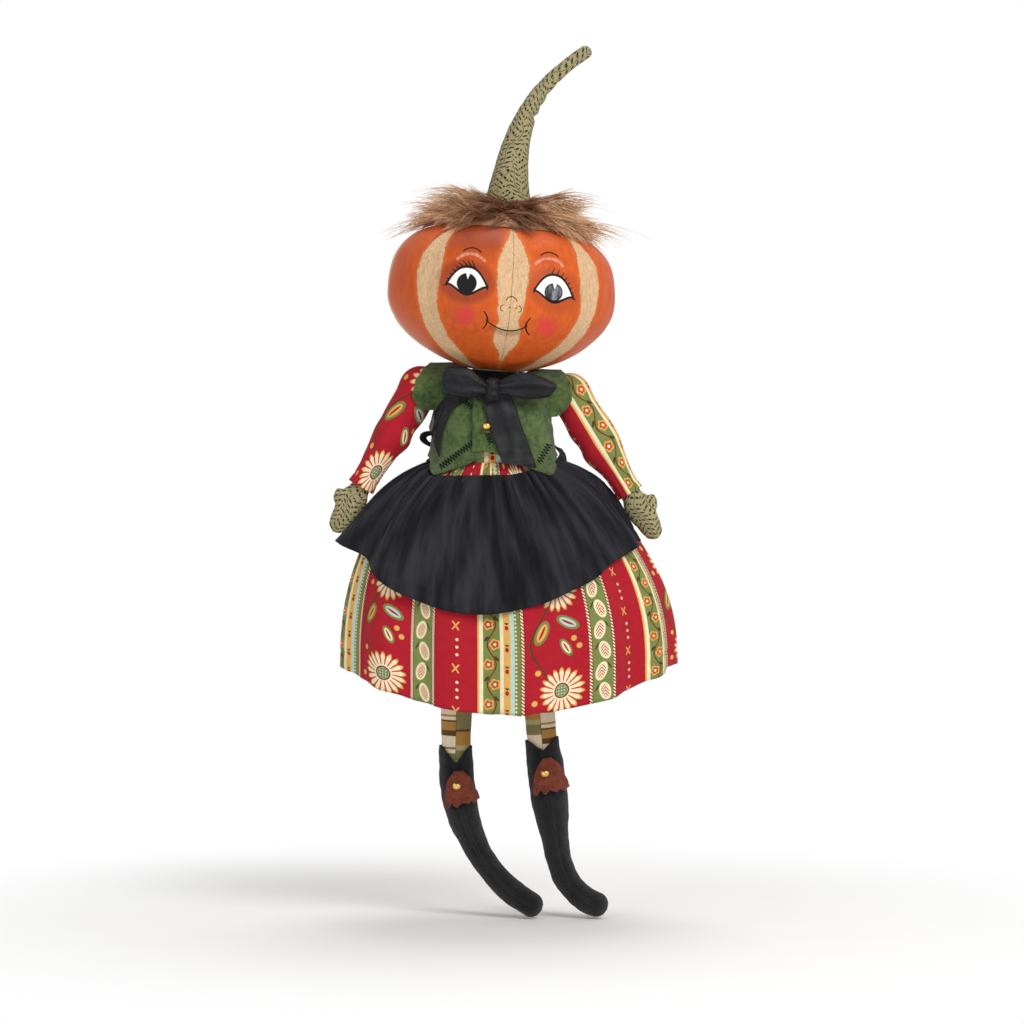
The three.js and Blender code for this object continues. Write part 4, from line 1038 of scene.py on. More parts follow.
def painted_canvas():
    """The head: orange paint brushed on cloth, bare cloth stripes along its seams, a face, and a painted
    shadow of the fur on the left of the forehead.
    """
    HALF_STRIPE, NARROWING, WAIST_DROP = 8.6, 1.9, 13
    EDGE_WANDER, EDGE_RAGGED, SEAM_HALF = 5, 6, 0.14
    BLUSH_RADIUS, BROW_RADIUS, BROW_LINE, BROW_HALF = 5.4, 6.9, 0.4, radians(47)
    GLOW_RADIUS, GLOW_LINE, GLOW_HALF, GLOW_DROP = 9.8, 0.8, radians(54), 3.4
    finish = Finish("painted_canvas", Roughness=0.5, Specular_IOR_Level=0.16)
    tilt = {"Vector": finish.place(), "Location": tuple(HEAD_CENTRE), "Rotation": (0, HEAD_TILT, 0)}
    local = finish.node("Mapping", {"vector_type": "TEXTURE"}, tilt).outputs[0]
    x, y, z = finish.parts(local)
    front = y < 0
    turn = finish.math("ARCTAN2", x, -y / HEAD_FLATNESS) - FACE_TURN
    reach = finish.length(x, y)
    off_seam = abs(repeat(turn, 2 * pi / STRIPES)) * reach
    in_middle = (abs(turn) < pi / STRIPES) * front

    brushed = finish.noise(finish.scaled(local, 1, 1, 0.22), size=2.6, detail=4, roughness=0.6)
    cloudy = finish.noise(local, size=17, detail=3)
    grain = finish.noise(finish.scaled(local, 1, 1, 0.18), size=0.8, detail=2)
    weave = finish.noise(local, size=0.55, detail=2)

    wander = finish.noise(local, size=9, detail=2) - 0.5
    fray = finish.noise(local, size=2.2, detail=4, roughness=0.75) - 0.5
    ragged = wander * EDGE_WANDER + fray * EDGE_RAGGED
    chin_low = -HEAD_HALF_HEIGHT * 1.08 + in_middle * HEAD_HALF_HEIGHT * 0.2
    chin = finish.ease((z - chin_low) / (HEAD_HALF_HEIGHT * 0.34), 0, 1)
    waist = finish.inside(abs(z + WAIST_DROP), 2, soft=9) * in_middle
    widest = HALF_STRIPE * finish.ease(z, HEAD_HALF_HEIGHT * 1.06, HEAD_HALF_HEIGHT * 0.36)
    half_stripe = (widest - NARROWING * finish.ease(z, 12, -8)) * chin - NARROWING * waist
    inward = half_stripe - off_seam - ragged * 0.45
    stripe = finish.ease(inward, -0.35, 0.45)
    rim = finish.inside(abs(inward - 0.1), 0.35, 0.7) * (chin > 0.05)
    halo = finish.ease(inward, -3.4, 0.2)
    seam = finish.inside(off_seam + ragged * 0.05, SEAM_HALF, soft=0.3) * in_middle

    tone = finish.ease(brushed * 0.5 + cloudy * 0.6, 0.35, 0.78)
    orange = finish.mixed(tone, paint(190, 78, 28), paint(226, 104, 36))
    side = finish.ease(abs(turn), 0.75, 1.5)
    low = finish.ease(z, 4, -30)
    # painted shadow of the fur: the upper forehead, left of the middle, is darkened
    fur_shadow = finish.ease(z, 14, 34) * finish.ease(x, 6, -6) * (abs(turn) < 0.9)
    slub = finish.ease(grain * 0.6 + weave * 0.5, 0.35, 0.8)
    bare = finish.mixed(slub, paint(198, 156, 114), paint(230, 197, 158))
    strands = finish.noise(finish.scaled(local, 1, 1, 0.1), size=1.6, detail=3)
    streaks = finish.ease(strands, 0.58, 0.75) * 0.35

    layers = [
        (finish.ease(cloudy, 0.42, 0.7) * 0.45, paint(166, 66, 34)),
        (fur_shadow * (0.6 + 0.38 * tone), paint(140, 55, 31)),
        (side * 0.55, paint(186, 76, 42)),
        (side * low * 0.5, paint(208, 112, 84)),
        (halo * 0.3, paint(230, 122, 44)),
        (stripe, finish.mixed(streaks, bare, paint(178, 128, 80))),
        (rim * 0.4 * finish.ease(brushed, 0.4, 0.6), paint(150, 96, 48)),
        (seam * stripe * 0.7, paint(104, 66, 38)),
    ]
    colour = finish.layered(orange, *layers)
    strokes = finish.ease(brushed, 0.4, 0.65)
    face_z = z + FACE_DROP
    face = []
    for one in (LEFT, RIGHT):
        blush = finish.length(x - BLUSHES[one][0], face_z - BLUSHES[one][1])
        cheek = finish.inside(blush, BLUSH_RADIUS, soft=3.4) * (0.5 + 0.2 * weave)
        face.append((cheek, paint(216, 52, 66)))
        face += painted_eye(finish, x, face_z, one, strokes)
        bx, bz = BROWS[one]
        under_brow = (bx + 0.3 * one, bz - GLOW_DROP)
        glow = arc(finish, x, face_z, under_brow, GLOW_RADIUS, GLOW_LINE, GLOW_HALF, soft=0.7)
        face.append((glow * (0.3 + 0.35 * strokes), paint(240, 180, 160)))
        face.append((arc(finish, x, face_z, (bx, bz), BROW_RADIUS, BROW_LINE, BROW_HALF), INK))
    face += painted_smile(finish, x, face_z)
    colour = finish.layered(colour, *[(mask * front, over) for mask, over in face])
    finish.feed(Base_Color=colour)
    finish.feed(Roughness=finish.ease(weave * 0.5 + stripe * 0.6, 0, 1) * 0.35 + 0.42)
    finish.bump(weave, depth=0.12, strength=0.5)
    finish.bump(grain, depth=0.12, strength=0.4)
    finish.bump(1 - seam, depth=0.25, strength=0.6)
    return finish.material


# The body: trunk, neck and head
TRUNK_HALF_WIDTH = along(
    (0, SEAT_HALF),
    (TRUNK_HEIGHT * 0.07, HIP_HALF - 1),
    (TRUNK_HEIGHT * 0.22, HIP_HALF),
    (WAIST_HEIGHT, WAIST_HALF),
    (TRUNK_HEIGHT * 0.84, CHEST_HALF),
    (TRUNK_HEIGHT, COLLAR_HALF),
)


def trunk_half_depth(z):
    return TRUNK_HALF_WIDTH(z) * TRUNK_FLATNESS


def make_trunk(finish):
    """The stuffed trunk, with a flat saddle underneath and a hollow at each hip."""
    END_SHARE = 0.1
    LUMP, LUMP_SIZE = 0.25, 9
    SADDLE_EDGE = 2

    def point(u, v):
        angle = 2 * pi * u
        steady = min(max((v - END_SHARE) / (1 - 2 * END_SHARE), 0), 1)
        z = TRUNK_HEIGHT * (ease(v, END_SHARE, 1 - END_SHARE) + steady) / 2
        closing = min(v / END_SHARE, (1 - v) / END_SHARE, 1)
        here = section_point(angle, TRUNK_HALF_WIDTH(z) * closing, trunk_half_depth(z) * closing, z)
        if z < HIP_RISE and abs(here.x) > SADDLE_HALF:
            here.z = mix(z, HIP_RISE, ease(abs(here.x), SADDLE_HALF, SADDLE_HALF + SADDLE_EDGE))
        return here + Vector((0, 0, LUMP * ripple(here, LUMP_SIZE)))

    trunk = round_piece("trunk_body", point, 64, 60)
    return dress(trunk, "trunk", finish, "muslin", "trunk")


def make_neck(finish):
    """The short stuffed neck that the head is pulled down over."""
    LOW, HIGH = -HEAD_HALF_HEIGHT - 2.9, -HEAD_HALF_HEIGHT + 14
    END_SHARE, PUCKER, PUCKER_COUNT = 0.08, 0.3, 5

    def point(u, v):
        angle = 2 * pi * u
        closing = min(v / END_SHARE, (1 - v) / END_SHARE, 1)
        radius = (NECK_RADIUS - PUCKER * abs(sin(angle * PUCKER_COUNT))) * closing
        return to_head(Vector((radius * cos(angle), radius * sin(angle), mix(LOW, HIGH, v))))

    neck = round_piece("neck_body", point, 40, 24)
    return dress(neck, "trunk", finish, "muslin", "neck")


def head_share(z):
    """How far the head reaches out at a height, as a share of its reach at the girth."""
    power = CROWN_POWER if z > 0 else CHIN_POWER
    return max(1 - (abs(z) / HEAD_HALF_HEIGHT) ** power, 0) ** (1 / power)


def crown_height(reach):
    """Height of the crown at a distance from the head's axis."""
    share = min(reach / HEAD_HALF_WIDTH, 1)
    return min(HEAD_HALF_HEIGHT * (1 - share**CROWN_POWER) ** (1 / CROWN_POWER), CROWN_FLAT)


def on_crown(angle, reach, rise):
    """A point above the crown, in the head's frame, by its angle and distance from the head's axis."""
    return Vector((reach * cos(angle), reach * HEAD_FLATNESS * sin(angle), crown_height(reach) + rise))


def make_head(finish):
    """The stuffed pumpkin: soft lobes between seams, and a socket underneath for the neck."""
    SOCKET_RADIUS = NECK_RADIUS + 0.8
    SOCKET_TOP = -HEAD_HALF_HEIGHT + 14.8
    SOCKET_SHARE = 0.06
    SOCKET_RIM = 0.9697
    START = acos(SOCKET_RIM)
    DRAWN_IN, GROOVE, GROOVE_WIDTH = 1.3, 0.5, 0.06
    LUMPS = ((0.7, 26, 3), (0.25, 9, 5))

    def point(u, v):
        angle = 2 * pi * u + FRONT
        if v <= SOCKET_SHARE:
            along_socket = v / SOCKET_SHARE * 2
            radius = SOCKET_RADIUS * min(along_socket, 1)
            z = mix(SOCKET_TOP, -HEAD_HALF_HEIGHT * SOCKET_RIM, max(along_socket - 1, 0))
            return to_head(Vector((radius * cos(angle), radius * sin(angle), z)))
        z = -HEAD_HALF_HEIGHT * cos(mix(START, pi, (v - SOCKET_SHARE) / (1 - SOCKET_SHARE)))
        seam = (angle - FRONT - FACE_TURN) * STRIPES / 2
        off_seam = abs(sin(seam))
        share = head_share(z)
        draw = DRAWN_IN * (1 - off_seam) ** 2 + GROOVE * hump(off_seam, 0, GROOVE_WIDTH)
        reach = (HEAD_HALF_WIDTH - draw) * share
        here = Vector((reach * cos(angle), reach * HEAD_FLATNESS * sin(angle), min(z, CROWN_FLAT)))
        lumps = lumpy(here, LUMPS)
        return to_head(here * (1 + lumps * min(share * 2, 1) / HEAD_HALF_WIDTH))

    head = round_piece("pumpkin_head", point, 176, 96)
    return dress(head, "head", finish, "painted_canvas", "head")


def stem_line(t):
    """The middle of the stem at a share of its height, in the head's frame."""
    return Vector((STEM_LEAN * t**STEM_HOOK, 0, STEM_FOOT + STEM_RISE * t))


def stem_radius(t):
    return mix(STEM_TIP_RADIUS, STEM_BASE_RADIUS, (1 - t) ** 2)


def make_stem(finish):
    """The stuffed stem: it hooks over near its tip and wrinkles on the inside of the bend."""
    TIP_SHARE = 0.06
    STUFFED, STUFFED_SHARE = 3.4, 0.86
    STEP = 0.002
    MOST_PUCKER = 0.4
    LUMPS = ((0.35, 9, 1), (0.18, 3.5, 2))
    PUCKERS = ((0.635, 1.5, 0.016), (0.7, 0.6, 0.014), (0.77, 0.7, 0.015), (0.84, 0.5, 0.013))

    def point(u, v):
        angle = 2 * pi * u - pi / 2
        t = min(v / (1 - TIP_SHARE), 1)
        past = max(v - 1 + TIP_SHARE, 0) / TIP_SHARE
        ahead = (stem_line(min(t + STEP, 1)) - stem_line(max(t - STEP, 0))).normalized()
        across = Vector((ahead.z, 0, -ahead.x))
        stuffing = STUFFED * max(1 - t / STUFFED_SHARE, 0)
        radius = (stem_radius(t) + stuffing) * sqrt(max(1 - past**2, 0))
        inner = max(cos(angle), 0) ** 1.5
        for at, depth, width in PUCKERS:
            radius -= min(depth * inner * hump(t, at, width), radius * MOST_PUCKER)
        here = stem_line(t) + ahead * (stem_radius(1) * past)
        here += across * (radius * cos(angle)) + Vector((0, radius * sin(angle), 0))
        lumps = lumpy(here, LUMPS)
        return to_head(here + (across * cos(angle) + Vector((0, sin(angle), 0))) * lumps * (1 - past))

    def flat(u, v):
        return ((u - 0.5) * 2 * pi * stem_radius(min(v, 1)), v * STEM_RISE * 1.08)

    def foot(u, v):
        rim = point(u, 0)
        return rim.lerp(to_head(stem_line(0)), 1 - v)

    parts = joined(grid(point, 48, 120, flat, closed=True), grid(foot, 48, 2, flat, closed=True))
    stem = sew(piece_from("stem_body", *parts))
    dress(stem, "head", finish, "sprig_cloth", "stem")
    return stem


def make_fur(finish):
    """The fur round the stem: a low mat, and pointed locks that rise, fly out to the sides and droop."""
    LOCKS, STRANDS, SEGMENTS, SIDES = 300, 15, 6, 3
    MAT_SHARE, MAT_SHARE_ASIDE, MAT_RISE = 0.86, 0.74, 0.6
    SHORT, LONG, LONG_LOCK, LONG_LOCKS = 16, 28, 1.4, 0.14
    LOCK_LENGTHS, STRAND_LENGTHS, STRAY_LENGTH, STRAYS = (0.7, 1.15), (0.72, 1.05), 1.3, 0.06
    INNER_LIFT, OUTER_LIFT, LIFT_STRAY = 34, 8, 9
    INNER_BEND, OUTER_BEND, BEND_STRAY = 46, 40, 16
    LOCK_SPREAD, LOCK_HEIGHT, OFF_CROWN, GATHERED = 2.1, 1.3, 0.7, 0.8
    THIN, THICK, TAPER = 0.2, 0.38, 0.85
    SHADED, SHADED_FROM, SHADED_TO = 0.75, 0.8, 0.97
    dice = random.Random(8)
    inside = STEM_BASE_RADIUS + 0.6
    ROOT_RISE = 15
    neckline = stem_radius((crown_height(inside) + ROOT_RISE - STEM_FOOT) / STEM_RISE) + 0.2

    def mat(u, v):
        angle = -2 * pi * u
        over = v < 0.5
        share = v * 2 if over else 2 - v * 2
        reach = mix(neckline if over else inside, FUR_REACH * MAT_SHARE, share)
        tufts = 0.8 * ripple((reach * cos(angle), reach * sin(angle), 0), 5)
        rise = MAT_RISE + (mix(ROOT_RISE, 0.8, share**0.6) + tufts if over else 0)
        return to_head(on_crown(angle, reach, rise))

    def strand(root, heading, lift, bend, length, off):
        """The path of one strand: it sets out with its lock and comes to the lock's tip."""
        here = root.copy()
        path = []
        for s in range(SEGMENTS + 1):
            share = s / SEGMENTS
            if s:
                pitch = lift - bend * (s - 0.5) / SEGMENTS
                ahead = Vector((cos(pitch) * cos(heading), cos(pitch) * sin(heading), sin(pitch)))
                here = here + ahead * (length / SEGMENTS)
            place = here + off * (1 - GATHERED * share)
            floor = crown_height(sqrt(place.x**2 + (place.y / HEAD_FLATNESS) ** 2)) + OFF_CROWN
            place.z = max(place.z, floor)
            path.append(to_head(place))
        return path

    parts = [grid(mat, 72, 24, lambda u, v: (0.4, 0.3), closed=True)]
    for _ in range(LOCKS):
        angle = dice.uniform(0, 2 * pi)
        sideways = abs(cos(angle))
        depth = dice.random() ** 0.8
        reach = mix(inside + 1, FUR_REACH * mix(MAT_SHARE, MAT_SHARE_ASIDE, sideways), depth)
        length = mix(SHORT, LONG, sideways**1.3) * dice.uniform(*LOCK_LENGTHS) * mix(1.15, 0.95, depth)
        length *= LONG_LOCK if dice.random() < LONG_LOCKS else 1
        lift = mix(INNER_LIFT, OUTER_LIFT, depth) * mix(0.6, 1, sideways)
        lift = radians(lift + dice.gauss(0, LIFT_STRAY))
        bend = radians(mix(INNER_BEND, OUTER_BEND, depth) + dice.gauss(0, BEND_STRAY))
        comb = dice.uniform(0.25, 0.95) * (1 - sideways) * (-1 if sin(angle) * cos(angle) > 0 else 1)
        heading = angle + dice.uniform(-0.4, 0.4) + comb
        rise = 1 + 13 * (1 - depth) ** 1.5
        root = on_crown(angle, reach, rise)
        shaded = 1 - SHADED * ease(-sin(angle), SHADED_FROM, SHADED_TO)
        shade = dice.random()
        for _ in range(STRANDS):
            off = Vector([dice.gauss(0, stray) for stray in (LOCK_SPREAD, LOCK_SPREAD, LOCK_HEIGHT)])
            run = length * dice.uniform(*STRAND_LENGTHS)
            run *= STRAY_LENGTH if dice.random() < STRAYS else 1
            path = strand(root, heading + dice.gauss(0, 0.06), lift + dice.gauss(0, 0.05), bend, run, off)
            thick = dice.uniform(THIN, THICK)
            points, faces, _ = tube(path, lambda share, thick=thick: thick * (1 - TAPER * share), SIDES)
            own = min(shade * 0.6 + dice.uniform(0, 0.45), 1) * shaded
            corners = [(own, index // SIDES / SEGMENTS * shaded) for face in faces for index in face]
            parts.append((points, faces, corners))
    fur = piece_from("fur_tuft", *joined(*parts))
    return dress(fur, "head", finish, "faux_fur", "hair_tuft")


# The dress: bodice, skirt and sleeves
FRONT_STRIPE = 57


def bell_section(z):
    """Half width, half depth, fullness and sidestep of the plain bell under the skirt at a height."""
    share = max(WAIST_HEIGHT - z, 0) / HEM_SIDE_DROP
    bell = 1 - max(1 - share, 0) ** BELL_POWER
    waist = WAIST_HALF + SKIRT_STAND
    half_width = mix(waist, HEM_HALF_WIDTH, bell)
    half_depth = WAIST_HALF * TRUNK_FLATNESS + SKIRT_STAND + (half_width - waist) * BELL_FLATNESS
    return half_width, half_depth, bell, HEM_SIDESTEP * bell**2


def puff(angle, z):
    """How far the skirt's cloth stands off the bell at the sides, just under the waist."""
    PUFF, PUFF_DROP, NARROWING = 7.5, 14, 6
    drop = max(WAIST_HEIGHT - z, 0) / PUFF_DROP
    return PUFF * drop * exp(1 - drop) * abs(cos(angle)) ** NARROWING


def fold(angle, bell):
    """How far a fold of the skirt stands out, with gathers at the waist and full folds at the hem."""
    EVEN, UNEVEN = 0.7, 0.3
    GATHER_COUNT, GATHER_DEPTH = 47, 0.35
    WAVE_COUNT, WAVE_DEPTH = 9, 0.9
    fullness = 0.8 + UNEVEN * sin(angle * 3 + 0.6) * sin(angle * 2)
    main = EVEN * cos(angle * FOLD_COUNT) + UNEVEN * cos(angle * 5 + 1)
    gathers = GATHER_DEPTH * cos(angle * GATHER_COUNT + 2 * sin(angle * 7)) * (1 - bell) ** 2
    waves = WAVE_DEPTH * sin(angle * WAVE_COUNT + 3 * bell + sin(angle * 5)) * bell
    return FOLD_DEPTH * bell**2 * main * fullness + gathers + waves


def skirt_point(angle, z, stand):
    half_width, half_depth, bell, centre_x = bell_section(z)
    out = stand + fold(angle, bell)
    return section_point(angle, half_width + out + puff(angle, z), half_depth + out, z, centre_x)


def hem_height(angle, side_drop, front_drop):
    return WAIST_HEIGHT - mix(side_drop, front_drop, sin(angle) ** 2)


def hem_lengths(edge, steps=720):
    """A way to find the length of cloth along an edge from the front, and the length all round."""
    lengths = [0]
    before = edge(FRONT - pi)
    for i in range(1, steps + 1):
        here = edge(FRONT - pi + 2 * pi * i / steps)
        lengths.append(lengths[-1] + (here - before).length)
        before = here
    middle = lengths[steps // 2]

    def length(angle):
        place = (angle - FRONT + pi) / (2 * pi) * steps
        low = min(max(int(place), 0), steps - 1)
        return mix(lengths[low], lengths[low + 1], place - low) - middle

    return length, lengths[-1]


def skirt_edge(angle):
    return skirt_point(angle, hem_height(angle, HEM_SIDE_DROP, HEM_FRONT_DROP), 0)


skirt_length, SKIRT_AROUND = hem_lengths(skirt_edge)


def groove(above_hem, at, depth):
    """How far a row of stitches pulls the cloth in."""
    STITCH_WIDTH = 0.8
    return -depth * hump(above_hem, at, STITCH_WIDTH)


def make_skirt(finish):
    """The gathered skirt, sewn into a tube, with a stitched hem."""
    HEM, HEM_STITCH, UNEVEN_HEM = 9, 0.35, 0.8
    DROP, TIGHTENING = 150, 1.4

    def point(u, v):
        angle = FRONT - pi + 2 * pi * u
        hem = hem_height(angle, HEM_SIDE_DROP, HEM_FRONT_DROP)
        z = mix(WAIST_HEIGHT, hem, v**TIGHTENING)
        here = skirt_point(angle, z, groove((z - hem) * 1.02, HEM, HEM_STITCH))
        bell = bell_section(z)[2]
        return here + Vector((0, 0, UNEVEN_HEM * bell * v * ripple((angle * 9, 0, 4), 1)))

    def flat(u, v):
        return (FRONT_STRIPE + skirt_length(FRONT - pi + 2 * pi * u), DROP * (1 - v**TIGHTENING))

    skirt = round_piece("skirt_cloth", point, 288, 72, flat)
    thicken(skirt, COTTON_THICKNESS)
    return dress(skirt, "trunk", finish, "print_cloth", "skirt_front", "skirt_back")


def make_bodice(finish):
    """The dress above the waist."""
    LOW, HIGH = WAIST_HEIGHT - 6, TRUNK_HEIGHT - 5
    CREASE = 0.25

    def point(u, v):
        angle = FRONT - pi + 2 * pi * u
        z = mix(LOW, HIGH, v)
        crease = CREASE * ripple((angle * 8, z / 14, 0), 1, 6)
        stand = BODICE_STAND + crease
        return section_point(angle, TRUNK_HALF_WIDTH(z) + stand, trunk_half_depth(z) + stand, z)

    def flat(u, v):
        return (FRONT_STRIPE + (u - 0.5) * 2 * pi * CHEST_HALF * 0.9, (HIGH - LOW) * v + 30)

    bodice = round_piece("bodice_cloth", point, 96, 24, flat)
    thicken(bodice, FINE_THICKNESS)
    return dress(bodice, "trunk", finish, "print_cloth", "dress_bodice")


def sleeve_radius(side):
    return along(
        (-SLEEVE_LENGTH, CUFF_RADIUS + 0.8),
        (-SLEEVE_LENGTH * 0.9, CUFF_RADIUS),
        (-SLEEVE_LENGTH * 0.45, SLEEVE_FULLNESS[side]),
        (-SLEEVE_LENGTH * 0.15, SLEEVE_HEAD * 0.92),
        (0, SLEEVE_HEAD),
    )


def make_sleeve(side, finish):
    """A full sleeve: rounded at its head, creased at the elbow, drawn in above its cuff."""
    HEAD_SHARE = 0.18
    CUFF_STITCH, STITCH_DEPTH = 5, 0.3
    ELBOW, ELBOW_REACH, CREASE = -SLEEVE_LENGTH * 0.5, 14, 0.9
    DRAWN_IN, DRAWN_REACH, GATHER_COUNT, GATHER_DEPTH = -SLEEVE_LENGTH * 0.9, 6, 11, 0.3
    LUMP, LUMP_SIZE, ROUND = 0.45, 9, 10
    STRIPE = {LEFT: 84, RIGHT: 42}[side]
    radius_at = sleeve_radius(side)

    def place(v):
        """Height and radius down the sleeve, from the top of its head."""
        if v < HEAD_SHARE:
            turn = v / HEAD_SHARE * pi / 2
            return SLEEVE_HEAD * cos(turn), SLEEVE_HEAD * sin(turn)
        z = -SLEEVE_LENGTH * (v - HEAD_SHARE) / (1 - HEAD_SHARE)
        return z, radius_at(z)

    def point(u, v):
        angle = 2 * pi * u + pi / 2
        z, radius = place(v)
        if z < 0:
            pulled = CREASE * sin(z * 0.3 + 1.9 * sin(angle) + side) * max(cos(angle) * -side, 0)
            gathers = GATHER_DEPTH * cos(angle * GATHER_COUNT) * hump(z, DRAWN_IN, DRAWN_REACH)
            radius += hump(z, ELBOW, ELBOW_REACH) * pulled + gathers
            radius += groove(z + SLEEVE_LENGTH, CUFF_STITCH, STITCH_DEPTH)
            on_sleeve = (cos(angle) * ROUND, sin(angle) * ROUND, z)
            radius += LUMP * ripple(on_sleeve, LUMP_SIZE, side) * ease(-z, 0, ROUND)
        return to_arm[side](Vector((radius * cos(angle), radius * sin(angle), z)))

    def flat(u, v):
        z, _ = place(v)
        return (STRIPE + (u - 0.5) * 2 * pi * SLEEVE_HEAD, z + SLEEVE_LENGTH)

    name = SIDE_NAMES[side]
    sleeve = round_piece(name + "_sleeve_cloth", point, 64, 88, flat)
    thicken(sleeve, FINE_THICKNESS)
    return dress(sleeve, name + "_arm", finish, "print_cloth", name + "_sleeve")


def make_hand(side, finish):
    """A stuffed mitten with its thumb on the outer side, on the end of the arm inside the sleeve."""
    PALM = along((0, 0.34), (0.04, 0.48), (0.12, 0.62), (0.3, 0.78), (0.58, 0.94), (0.82, 0.96), (1, 0.8))
    ARM_SHARE = 0.4
    ARM_TOP = -SLEEVE_LENGTH * 0.2
    THUMB_LEAN, THUMB_OUT, THUMB_DROP = radians(14), HAND_HALF_WIDTH * 0.86, HAND_LENGTH * 0.36
    SEAM, SEAM_WIDTH = 0.28, 1.6
    LUMPS = ((0.3, 6, side), (0.14, 2.4, 4))
    BACK_OF_CLOTH = 40

    def limb(u, v):
        angle = 2 * pi * u
        c, s = cos(angle), sin(angle)
        if v < 1 - ARM_SHARE:
            share = v / (1 - ARM_SHARE)
            width = PALM(share) * min(sqrt(share * 14), 1)
            z = -SLEEVE_LENGTH - HAND_LENGTH * (1 - share)
            half_width, half_depth = HAND_HALF_WIDTH * width, HAND_HALF_DEPTH * width
            half_depth = mix(half_depth, CUFF_RADIUS - 1.2, ease(share, 0.8, 1))
            half_width = mix(half_width, CUFF_RADIUS - 1.0, ease(share, 0.75, 1))
        else:
            share = (v - 1 + ARM_SHARE) / ARM_SHARE
            z = mix(-SLEEVE_LENGTH, ARM_TOP, share)
            closing = min((1 - share) / 0.1, 1)
            radius = mix(CUFF_RADIUS - 1.1, CUFF_RADIUS - 2, ease(share, 0.05, 0.2))
            half_width = half_depth = radius * closing
        return Vector((half_width * c, half_depth * s, z))

    def thumb(u, v):
        angle = 2 * pi * u
        turn = pi * v
        along_thumb = -cos(turn) * (HAND_LENGTH * 0.05 + THUMB_RADIUS)
        radius = THUMB_RADIUS * 1.2 * sqrt(max(sin(turn), 0))
        x = side * (THUMB_OUT + along_thumb * sin(THUMB_LEAN)) + radius * cos(angle)
        z = -SLEEVE_LENGTH - THUMB_DROP + along_thumb * cos(THUMB_LEAN)
        return Vector((x, radius * sin(angle), z))

    parts = joined(grid(limb, 40, 60, plain, closed=True), grid(thumb, 20, 14, plain, closed=True))
    name = SIDE_NAMES[side]
    hand = sew(piece_from(name + "_hand", *parts))
    remade(hand)

    def lumps(here):
        outline = ease(abs(here.y), SEAM_WIDTH, 0) * ease(-here.z, SLEEVE_LENGTH, SLEEVE_LENGTH + 3)
        return lumpy(here, LUMPS) - SEAM * outline

    swell(hand, lumps)
    map_cloth(hand, lambda here: (here.x + (BACK_OF_CLOTH if here.y > 0 else 0), here.z))
    spread_out = Matrix.Rotation(-side * ARM_SPREADS[side], 4, "Y")
    hand.data.transform(Matrix.Translation(SHOULDERS[side] * MM) @ spread_out)
    return dress(hand, name + "_arm", finish, "sprig_cloth", name + "_arm")


# The apron and its band. The apron's gathered top sits this far above the waist, left end to right
APRON_RISE = along((-1, 3), (-0.5, -7), (0.1, -6.5), (0.5, -3), (0.72, 0), (1, 12))


def make_apron(finish):
    """The gathered apron on the skirt: its left corner blows out and its right end is tied high."""
    FLARES = {LEFT: 12, RIGHT: -4}
    HEM, HEM_SLIP = 7, 0.2
    TIED_BACK, TIED_BULGE, BULGE_RISE, BULGE_REACH = 0.95, 8, 3, 12
    TIGHTENING = 1.4
    GATHER_COUNT, GATHER_DEPTH, DRAPE_COUNT, DRAPE_DEPTH = 19, 3.4, 11, 2.4
    HEM_STITCH, SIDE_HEM, SIDE_STITCH, HALF_WIDTH = 0.55, 4, 0.4, 90
    LEAST_STAND = 1.3
    LENGTH, MEAN_LENGTH = APRON_FRONT_DROP * 1.1, 74

    def apron_hem(angle):
        turn = (angle - FRONT) / APRON_WRAP
        return hem_height(angle + HEM_SLIP * ease(turn, -1, 0.2), APRON_SIDE_DROP, APRON_FRONT_DROP)

    def edge(angle):
        return skirt_point(angle, apron_hem(angle), APRON_STAND)

    length, _ = hem_lengths(edge)
    around = length(FRONT + APRON_WRAP) - length(FRONT - APRON_WRAP)

    def point(u, v):
        turn = mix(-1, 1, u)
        tied = ease(turn, 0.7, 1)
        hem = apron_hem(FRONT + turn * APRON_WRAP)
        angle = FRONT + turn * APRON_WRAP + TIED_BACK * tied * (1 - v) ** 2
        z = mix(WAIST_HEIGHT - 0.4 + APRON_RISE(turn), hem, v**TIGHTENING)
        bulge = TIED_BULGE * tied * hump(z, WAIST_HEIGHT + BULGE_RISE, BULGE_REACH)
        flare = FLARES[LEFT if turn < 0 else RIGHT] * abs(turn) ** 6 * v**3
        pleat = abs(cos(angle * GATHER_COUNT + 2.2 * sin(angle * 5) + 0.5 * sin(angle * 13)))
        fade = 0.5 + 0.28 * sin(angle * 8 + 1) + 0.14 * sin(angle * 17)
        gathers = GATHER_DEPTH * pleat * ease(v, 0, 0.1) * (1 - ease(v, 0.1, fade + 0.25))
        gathers *= 1 - 0.7 * tied
        drape = DRAPE_DEPTH * (1 + sin(angle * DRAPE_COUNT + 0.8 + sin(angle * 4) + v)) * ease(v, 0.1, 0.6)
        drape += 0.6 * sin(angle * 21 + 4 * v) * v
        stitched = groove((z - hem) * 1.05, HEM, HEM_STITCH)
        stitched += groove((1 - abs(turn)) * HALF_WIDTH, SIDE_HEM, SIDE_STITCH)
        stand = APRON_STAND + flare + gathers + drape + stitched + bulge
        return skirt_point(angle, z, max(stand, LEAST_STAND))

    def flat(u, v):
        return ((u - 0.5) * around, LENGTH * (1 - v**TIGHTENING))

    apron = piece_from("apron_cloth", *grid(point, 200, 64, flat))
    thicken(apron, COTTON_THICKNESS)
    return dress(apron, "trunk", finish, "black_cotton", "apron")


